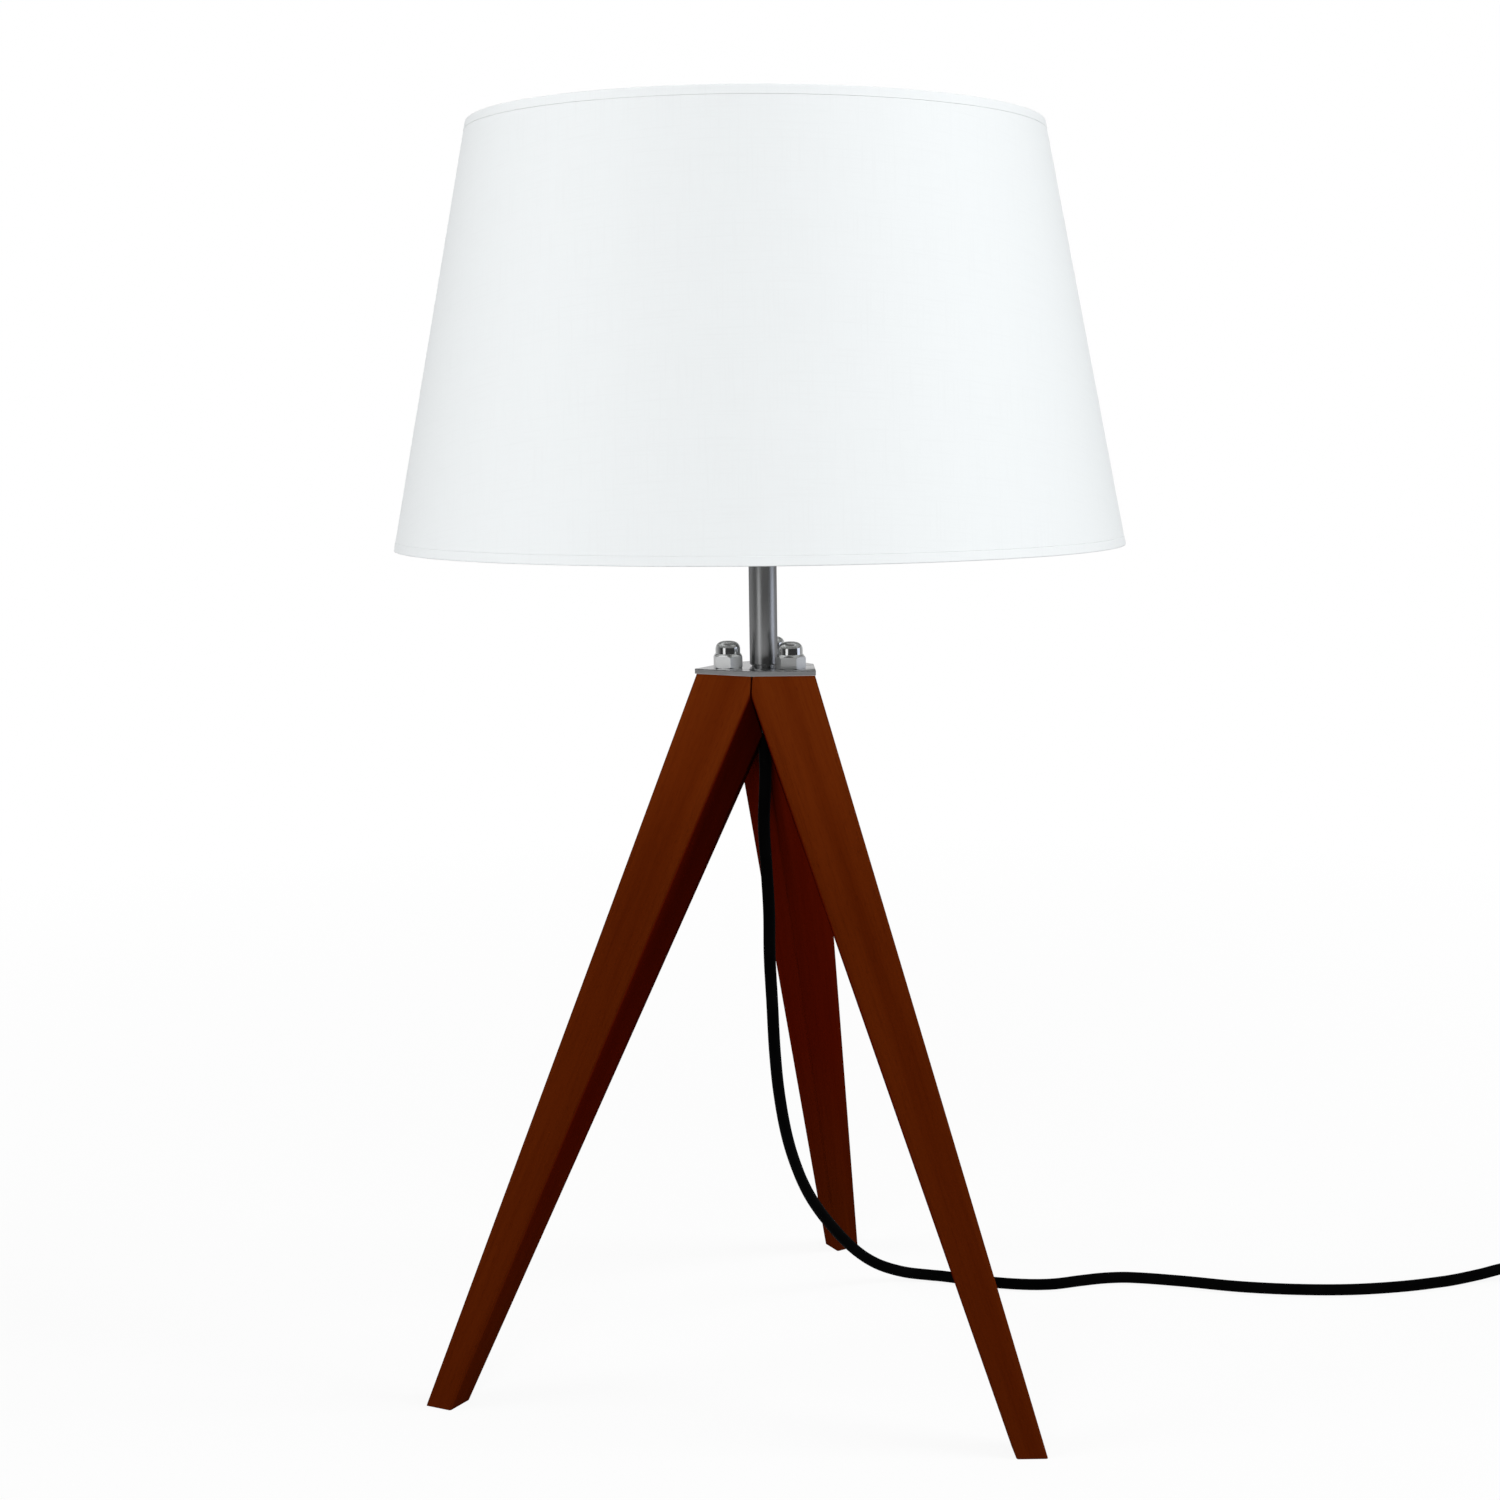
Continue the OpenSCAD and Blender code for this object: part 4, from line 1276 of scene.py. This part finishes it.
@dataclass
class Shade:
    """Conical drum of cloth on a plastic liner, hemmed over two wire rings on a carrier."""

    low: float = 413.5 * MM
    high: float = 610.5 * MM
    low_radius: float = 175 * MM
    high_radius: float = 136 * MM
    hem: float = 0.5 * MM
    hem_height: float = 4.2 * MM
    hem_step: float = 0.06 * MM
    fit: float = 0.05 * MM
    skin: float = 0.8 * MM
    cloth: float = 0.35 * MM
    glue: float = 0.02 * MM
    puff: float = 0.40 * MM
    wire: float = 1.5 * MM
    lap_width: float = 12 * MM
    lap_rise: float = 0.22 * MM
    lap_slope: float = 0.04
    lap_points: tuple = (1.0, 0.98, 0.96, 0.04, 0.02)
    steps: int = 256
    rows: int = 10
    hub_level: float = 452.15 * MM
    hub_thick: float = 1.2 * MM
    hub_radius: float = 28 * MM
    hub_bore: float = 19.8 * MM
    arm_radius: float = 1.4 * MM
    arm_bend_out: float = 118 * MM
    arm_bend: float = 8 * MM
    arm_start: float = 0.7 * MM
    arm_count: int = 3
    arm_first: float = math.radians(60)
    weld_sizes: tuple = ((1.5, 2.1, 0.95), (1.0, 1.9, 1.4))
    weld_in: float = 0.3 * MM
    weld_up: float = 1.1 * MM
    wire_steps: int = 16

    def __post_init__(self) -> None:
        """Work out the wall's slope and the levels of the wires."""
        self.fall = (self.low_radius - self.high_radius) / (self.high - self.low)
        self.lean = math.atan(self.fall)
        rise = self.hem + self.fit + self.wire
        self.low_wire, self.top_wire = self.low + rise, self.high - rise
        self.arm_level = self.hub_level + self.hub_thick / 2

    def outer(self, z: float) -> float:
        """Return the shade's outer radius at a height, over its hems."""
        return self.low_radius - self.fall * (z - self.low)

    def wire_ring(self, z: float) -> float:
        """Return the radius of a wire ring at a height."""
        return self.outer(z) - self.hem - self.skin - (self.wire + self.fit) / math.cos(self.lean)

    def angles(self) -> list[float]:
        """Place the wall's points, closer together at the lap.

        Returns:
            Their turns, from the rear seam round to it again.
        """
        even = [-math.pi + math.tau * k / self.steps for k in range(self.steps)]
        width = self.lap_width / self.low_radius
        edges = [math.pi - width * share for share in self.lap_points] + [-math.pi + width * 0.01]
        return sorted(set(even + edges))

    def lap(self, turn: float) -> float:
        """Raise the cloth at its glued lap.

        Args:
            turn: A turn round the shade.

        Returns:
            How far the cloth stands out there.
        """
        width = self.lap_width / self.low_radius
        into = (turn - (math.pi - width)) / width
        both = ease(into / self.lap_slope) * ease((1 - into) / self.lap_slope)
        return self.lap_rise * both if into > 0 else 0.0

    def turned(self, name: str, outline: Profile, with_lap: bool = False, sharp: float = 32) -> Mesh:
        """Turn an outline round the axis, with the cut cloth's own flat map as its UV.

        Args:
            name: The mesh's name.
            outline: Closed outline of radii and heights.
            with_lap: Whether the lap at the rear stands out.
            sharp: Least angle in degrees of an edge that stays sharp.

        Returns:
            The closed mesh.
        """
        turns = self.angles()
        slant = math.sin(self.lean)
        bm = bmesh.new()
        layer = bm.loops.layers.uv.new("cloth")
        rings = []
        for r, z in outline:
            reach = [r + (self.lap(a) if with_lap else 0.0) for a in turns]
            rings.append([bm.verts.new((x * math.sin(a), -x * math.cos(a), z)) for x, a in zip(reach, turns)])
        count, levels = len(turns), len(outline)
        for i in range(levels):
            low, high = rings[i], rings[(i + 1) % levels]
            far_low, far_high = outline[i][0] / slant, outline[(i + 1) % levels][0] / slant
            for k in range(count):
                j = (k + 1) % count
                here = turns[k] * slant
                there = (turns[j] + (math.tau if j == 0 else 0.0)) * slant
                face = bm.faces.new((low[k], low[j], high[j], high[k]))
                places = ((far_low, here), (far_low, there), (far_high, there), (far_high, here))
                for loop, (far, turn) in zip(face.loops, places):
                    loop[layer].uv = (far * math.sin(turn), far * math.cos(turn))
        return finished(bm, name, sharp)

    def wall_outline(self, outer_gap: float, thick: float, puff: float = 0.0) -> Profile:
        """Draw one layer of the wall.

        Args:
            outer_gap: Distance from the shade's outer line in to the layer.
            thick: The layer's thickness under the tapes.
            puff: How far its outside stands out between the tapes that press it down.

        Returns:
            The closed outline.
        """
        low, high = self.low + self.hem + self.fit, self.high - self.hem - self.fit
        first, last = self.low + self.hem_height, self.high - self.hem_height
        step = self.hem_step
        levels = [first + step + (last - first - 2 * step) * k / self.rows for k in range(self.rows + 1)]
        edges = [(self.outer(z) - outer_gap, z) for z in (low, first - step, last + step, high)]
        raised = [(self.outer(z) - outer_gap + puff, z) for z in levels]
        outside = edges[:2] + raised + edges[2:]
        inside = [(self.outer(z) - outer_gap - thick, z) for _, z in outside[::-1]]
        return outside + inside

    def hem_outline(self, rim: float, way: int) -> Profile:
        """Draw the tape folded round a rim.

        Args:
            rim: Height of the rim.
            way: 1 at the lower rim and -1 at the upper one.

        Returns:
            The closed outline.
        """
        wire_level = rim + way * (self.hem + self.fit + self.wire)
        inner = self.wire_ring(wire_level) - self.wire - self.fit
        fold, lip, edge = (rim + way * d for d in (self.hem, self.hem + self.wire / 2, self.hem_height))
        skin_out = self.hem - self.fit
        levels = (rim, rim + way * MM, edge - way * 0.6 * MM, edge - way * 0.12 * MM)
        corners = [
            *((self.outer(z), z) for z in levels),
            (self.outer(edge) - 0.15 * MM, edge), (self.outer(edge) - skin_out, edge),
            (self.outer(fold) - skin_out, fold), (inner, fold), (inner, lip),
            (inner - self.hem, lip), (inner - self.hem, rim),
        ]
        return rounded(corners, 0.4 * MM)

    def ring_mesh(self, name: str, z: float) -> Mesh:
        """Make a wire ring.

        Args:
            name: Its name.
            z: Its height.

        Returns:
            Its mesh.
        """
        r = self.wire_ring(z)
        turns = [math.tau * k / self.wire_steps for k in range(self.wire_steps)]
        outline = [(r + self.wire * math.cos(a), z + self.wire * math.sin(a)) for a in turns]
        return lathe(name, outline, 160, 60)

    def arm_line(self) -> Mesh:
        """Draw the centre line of the arm on the +X side.

        Returns:
            A mesh of two edges.
        """
        level, low = self.arm_level, self.low_wire
        ring = self.wire_ring(low)
        drop = math.atan((level - low) / (ring - self.arm_bend_out))
        end = (ring - self.wire * math.cos(drop), 0, low + self.wire * math.sin(drop))
        places = ((self.hub_radius - self.arm_start, 0, level), (self.arm_bend_out, 0, level), end)
        mesh = bpy.data.meshes.new("arm_line")
        mesh.from_pydata(places, [(0, 1), (1, 2)], [])
        return mesh

    def weld(self) -> Mesh:
        """Make the two weld beads of the arm on the +X side.

        Returns:
            Their mesh.
        """
        bm = bmesh.new()
        ring = self.wire_ring(self.low_wire) - self.wire - self.weld_in
        places = ((self.hub_radius, 0, self.arm_level), (ring, 0, self.low_wire + self.weld_up))
        for place, size in zip(places, self.weld_sizes):
            made = bmesh.ops.create_uvsphere(bm, u_segments=16, v_segments=10, radius=MM)["verts"]
            bmesh.ops.scale(bm, vec=size, verts=made)
            bmesh.ops.translate(bm, vec=place, verts=made)
        return finished(bm, "weld", 60)

    def hub(self) -> Mesh:
        """Make the flat ring that lies on the lampholder.

        Returns:
            Its mesh.
        """
        bore, r, low, high = self.hub_bore, self.hub_radius, self.hub_level, self.hub_level + self.hub_thick
        return lathe("carrier_hub", rounded([(bore, low), (r, low), (r, high), (bore, high)], 0.3 * MM))

    def build(self) -> None:
        """Build the shade and its carrier."""
        rides = {"body": Body.SHADE}
        cloth = self.turned("shade_cloth_outer", self.wall_outline(self.hem, self.cloth, self.puff), True)
        cloth = show(cloth, CLOTH, "shade_skin", **rides)
        gap = self.hem + self.cloth + self.glue
        liner = self.turned("shade_liner", self.wall_outline(gap, self.hem + self.skin - gap))
        on_it = [show(liner, LINER, "shade_skin", **rides)]
        for node, rim, way in (("shade_hem_bottom", self.low, 1), ("shade_hem_top", self.high, -1)):
            tape = self.turned(node + "_tape", self.hem_outline(rim, way), sharp=50)
            on_it.append(show(tape, CLOTH, node, **rides))
        for node, level in (("shade_low_ring", self.low_wire), ("shade_top_ring", self.top_wire)):
            show(self.ring_mesh(node + "_wire", level), WIRE_COAT, node, **rides)
        show(self.hub(), WIRE_COAT, "shade_hub", **rides)
        turns = {"Count": self.arm_count, "First_turn": self.arm_first, "Turn": math.tau / self.arm_count}
        sizes = {"Wire_radius": self.arm_radius, "Bend_radius": self.arm_bend}
        arms = Sweep().grow("carrier_arms", self.arm_line(), WIRE_COAT, **turns, **sizes)
        show(arms, WIRE_COAT, "shade_arms", **rides)
        show(Repeat().grow("carrier_welds", self.weld(), WIRE_COAT, **turns), WIRE_COAT, **rides)


# Lead: cord, grip, switch and plug


def hermite_path(points: Sequence[Vector], steps: int) -> list[Vector]:
    """Run a smooth curve through given points.

    Args:
        points: The points.
        steps: Steps in each span.

    Returns:
        The curve's points.
    """
    last = len(points) - 1
    way = [(points[min(i + 1, last)] - points[max(i - 1, 0)]).normalized() for i in range(last + 1)]
    out = []
    for i in range(last):
        a, b = points[i], points[i + 1]
        reach = (b - a).length
        for k in range(steps):
            t = k / steps
            t2, t3 = t * t, t * t * t
            out.append(
                a * (2 * t3 - 3 * t2 + 1) + way[i] * (reach * (t3 - 2 * t2 + t))
                + b * (3 * t2 - 2 * t3) + way[i + 1] * (reach * (t3 - t2))
            )
    return out + [points[last]]


@dataclass
class Lead:
    """The mains lead: grip, free lead, switch, put-away coil and plug."""

    diameter: float = 6 * MM
    route_mm: tuple = (
        (0, 0, 322), (0, 0, 314), (0, 0, 298), (-1, 0, 276), (0, 1, 254), (1, 2, 232), (1, 3, 209),
        (2, 6, 184), (3, 11, 158), (5, 19, 133), (9, 31, 106), (15, 45, 82), (22, 58, 63),
        (32, 72, 44), (45, 86, 25), (58, 97, 12), (73, 102, 5), (89, 101, 3), (105, 95, 3),
        (123, 88, 3), (141, 84, 3), (155, 84, 3), (170, 88, 3), (184, 91, 3), (198, 91, 3),
        (225, 84, 3), (255, 74, 3), (285, 68, 3), (315, 66, 3), (345, 69, 3), (370, 75, 3),
        (390, 81, 4), (402, 83, 6), (411, 84, 7), (418, 84, 7), (425, 84, 7),
    )
    switch_length: float = 62 * MM
    switch_level: float = 7 * MM
    coil_turns: float = 4.25
    coil_inner: float = 29 * MM
    coil_pitch: float = 6.7 * MM
    coil_layer: float = 6.6 * MM
    coil_steps: int = 48
    run_in_mm: tuple = (0, 6, 12, 18, 24, 30, 37)
    run_in_fall: float = 24 * MM
    run_in_end: float = 45 * MM
    run_out_mm: tuple = (6, 12, 18, 24, 30, 34, 40)
    run_out_rise: float = 28 * MM
    plug_level: float = 6.85 * MM
    grip_low: float = 322 * MM
    grip_length: float = 22 * MM
    grip_radius: float = 7.5 * MM
    grip_grooves: int = 5
    groove_mm: tuple = ((0, 0), (-0.7, 0.35), (-0.7, 0.95), (0.2, 1.3))
    tube_radius: float = 5 * MM
    inside_top: float = 430 * MM
    switch_middle: Place = (456 * MM, 84 * MM, 0.0)
    switch_width: float = 25 * MM
    switch_round: float = 9 * MM
    switch_top: float = 15 * MM
    switch_crown: float = 2.4 * MM
    window_length: float = 15 * MM
    window_width: float = 9 * MM
    window_corner: float = 0.4 * MM
    window_frame_mm: tuple = ((2.4, 1.4, 0), (1.8, 1.1, 0.3), (0.3, 0.5, 0.3), (0, 0.4, 0.6))
    pocket_level: float = 8.5 * MM
    rib_count: int = 5
    rib_start: float = 12 * MM
    rib_step: float = 2.2 * MM
    rib_half: Place = (0.45 * MM, 6.5 * MM, 0.5 * MM)

    def lead_path(self) -> list[Vector]:
        """Return the centre line from the grip to the switch."""
        points = hermite_path([Vector(p) * MM for p in self.route_mm], 6)
        return [Vector((p.x, p.y, max(p.z, self.diameter / 2))) for p in points]

    def coil_radius(self, turn: float) -> float:
        """Return the coil's radius at a number of turns."""
        return self.coil_inner + self.coil_pitch * math.sqrt((turn - self.coil_turns / 2) ** 2 + 0.01)

    def coil_path(self) -> list[Vector]:
        """Draw the centre line from the switch through the coil to the plug.

        Returns:
            Its points.
        """
        low = self.diameter / 2
        start = Vector(self.route_mm[-1]) * MM + Vector((self.switch_length, 0, 0))
        centre = Vector((start.x + self.run_in_end, start.y + self.coil_radius(0)))
        out = []
        for s in self.run_in_mm:
            z = low + (self.switch_level - low) * (1 - ease((s * MM - self.diameter) / self.run_in_fall))
            out.append(Vector((start.x + s * MM, start.y, z)))
        steps = round(self.coil_turns * self.coil_steps)
        for i in range(steps + 1):
            turn = i / steps * self.coil_turns
            r, a = self.coil_radius(turn), math.tau * turn - math.pi / 2
            z = low + self.coil_layer * ease(2 * (turn - self.coil_turns / 2) + 0.5)
            out.append(Vector((centre.x + r * math.cos(a), centre.y + r * math.sin(a), z)))
        end = out[-1]
        for s in self.run_out_mm:
            share = 1 - ease((s * MM - self.diameter) / self.run_out_rise)
            out.append(Vector((end.x, end.y + s * MM, self.plug_level + (end.z - self.plug_level) * share)))
        return out

    def cord(self, name: str, path: Sequence[Vector], node: str) -> Piece:
        """Make one length of the lead.

        Args:
            name: The piece's name.
            path: Its centre line.
            node: The CAD node that it stands for.

        Returns:
            The curve.
        """
        data = bpy.data.curves.new(name, "CURVE")
        data.dimensions = "3D"
        data.bevel_depth = self.diameter / 2
        data.bevel_resolution = 5
        data.use_fill_caps = True
        spline = data.splines.new("POLY")
        spline.points.add(len(path) - 1)
        for point, place in zip(spline.points, path):
            point.co = (*place, 1)
        spline.use_smooth = True
        obj = bpy.data.objects.new(name, data)
        bpy.context.scene.collection.objects.link(obj)
        return settle(obj, CORD_SHEATH, node)

    def grip(self) -> Mesh:
        """Make the tapered grip, with bending grooves in its lower part.

        Returns:
            Its mesh.
        """
        low, top = self.grip_low, self.grip_low + self.grip_length
        lead, end = self.diameter / 2 + 0.05 * MM, self.diameter / 2 + 1 * MM
        r, socket, neck = self.grip_radius, self.tube_radius + 0.05 * MM, self.grip_radius - 2 * MM
        taper, seat = top - 9 * MM, top - 6.05 * MM
        outline = [(lead, low), (end, low)]
        for k in range(self.grip_grooves):
            z = low + (taper - low) * (k + 0.45) / self.grip_grooves
            out = end + (neck - end) * (z - low) / (taper - low)
            outline += [(out + x * MM, z + up * MM) for x, up in self.groove_mm]
        outline += [(neck, taper), (r, taper + MM), (r, top - 0.6 * MM), (r - 0.6 * MM, top)]
        outline += [(socket, top), (socket, seat), (lead, seat)]
        return lathe("lead_grip", rounded(outline, 0.25 * MM, 2), 64)

    def plan(self, length: float, width: float, r: float, z: float) -> list[Vector]:
        """Draw a level rounded rectangle centred on the switch.

        Args:
            length: Its length along x.
            width: Its width along y.
            r: Radius of its corners.
            z: Its height.

        Returns:
            Its points.
        """
        out = []
        middle = Vector(self.switch_middle)
        for corner, (sx, sy) in enumerate(((1, 1), (-1, 1), (-1, -1), (1, -1))):
            for k in range(9):
                a = math.pi / 2 * (corner + k / 8)
                x = sx * (length / 2 - r) + r * math.cos(a)
                y = sy * (width / 2 - r) + r * math.sin(a)
                out.append(middle + Vector((x, y, z)))
        return out

    def upper_shell(self) -> Mesh:
        """Make the switch's upper shell, crowned at its edge, with the rocker's pocket.

        Returns:
            Its mesh.
        """
        length, width, r = self.switch_length, self.switch_width, self.switch_round
        low, top, crown = self.switch_level, self.switch_top, self.switch_crown
        middle, edge = Vector(self.switch_middle), 0.5 * MM
        rings = [[middle + Vector((0, 0, low))], self.plan(length - edge, width - edge, r, low)]
        rings.append(self.plan(length, width, r, low + edge / 2))
        for k in range(7):
            a = math.pi / 2 * k / 6
            off = 2 * crown * (1 - math.cos(a))
            rings.append(self.plan(length - off, width - off, r - off / 2, top - crown + crown * math.sin(a)))
        sides = (self.window_length, self.window_width)
        for wider, corner, down in self.window_frame_mm:
            wide = (side + wider * MM for side in sides)
            rings.append(self.plan(*wide, corner * MM, top - down * MM))
        rings.append(self.plan(*sides, self.window_corner, self.pocket_level))
        rings.append([middle + Vector((0, 0, self.pocket_level))])
        return covered("switch_upper_shell", rings, 40, loop=False)

    def grip_ribs(self) -> Mesh:
        """Make the ribs across both ends of the switch's top.

        Returns:
            Their mesh.
        """
        place = Vector(self.switch_middle) + Vector((self.rib_start, 0, self.switch_top))
        back = Vector((2 * self.rib_start + (self.rib_count - 1) * self.rib_step, 0, 0))
        bm = rounded_box(self.rib_half, 0.3 * MM, place)
        bm.from_mesh(finished(rounded_box(self.rib_half, 0.3 * MM, place - back), "rib"))
        pair = finished(bm, "ribs", 60)
        step = (self.rib_step, 0, 0)
        return Repeat().grow("switch_ribs", pair, BLACK_PLASTIC, Count=self.rib_count, Step=step)

    def inside_lead(self) -> Mesh:
        """Make the lead inside the tube, down to the grip.

        Returns:
            Its mesh.
        """
        r, low, top, edge = self.diameter / 2, self.grip_low, self.inside_top, 0.4 * MM
        outline = [(0, low), (r, low), (r, top - edge), (r - edge, top), (0, top)]
        return lathe("lead_inside", outline, 32)

    def build(self) -> None:
        """Build the lead and all that is on it."""
        first, second = self.lead_path(), self.coil_path()
        lead = self.cord("mains_lead", first, "cord_lead")
        coil = self.cord("lead_coil", second, "cord_coil")
        show(self.inside_lead(), CORD_SHEATH, "inner_lead")
        grip = show(self.grip(), BLACK_PLASTIC, "cord_grip")
        upper = show(self.upper_shell(), BLACK_PLASTIC, "switch_upper")
        under = softened("switch_lower", "switch_lower_shell", 0.25 * MM, 0.5 * MM, sharp=40)
        under = show(under, BLACK_PLASTIC, "switch_lower")
        ribs = show(self.grip_ribs(), BLACK_PLASTIC)
        rocker = softened("switch_rocker", "rocker_key", 0.25 * MM, 0.4 * MM)
        rocker = show(rocker, BLACK_PLASTIC, "switch_rocker", body=Body.ROCKER)
        screws = dress_node("switch_screws", ZINC)
        plug = softened("plug_body", "plug_moulded", 0.5 * MM, 2.5 * MM, angle=20, sharp=35)
        plug = show(plug, BLACK_PLASTIC, "plug_body")
        pins, sleeves = dress_node("plug_pins", PIN_METAL), dress_node("plug_sleeves", BLACK_PLASTIC)


def main() -> None:
    """Build the lamp and its studio."""
    logging.basicConfig(level=logging.INFO, format="%(message)s")
    for part in (Studio(), Tripod(), Crown(), Lampholder(), Shade(), Lead()):
        log.info("building %s", type(part).__name__)
        part.build()


if __name__ == "__main__":
    main()
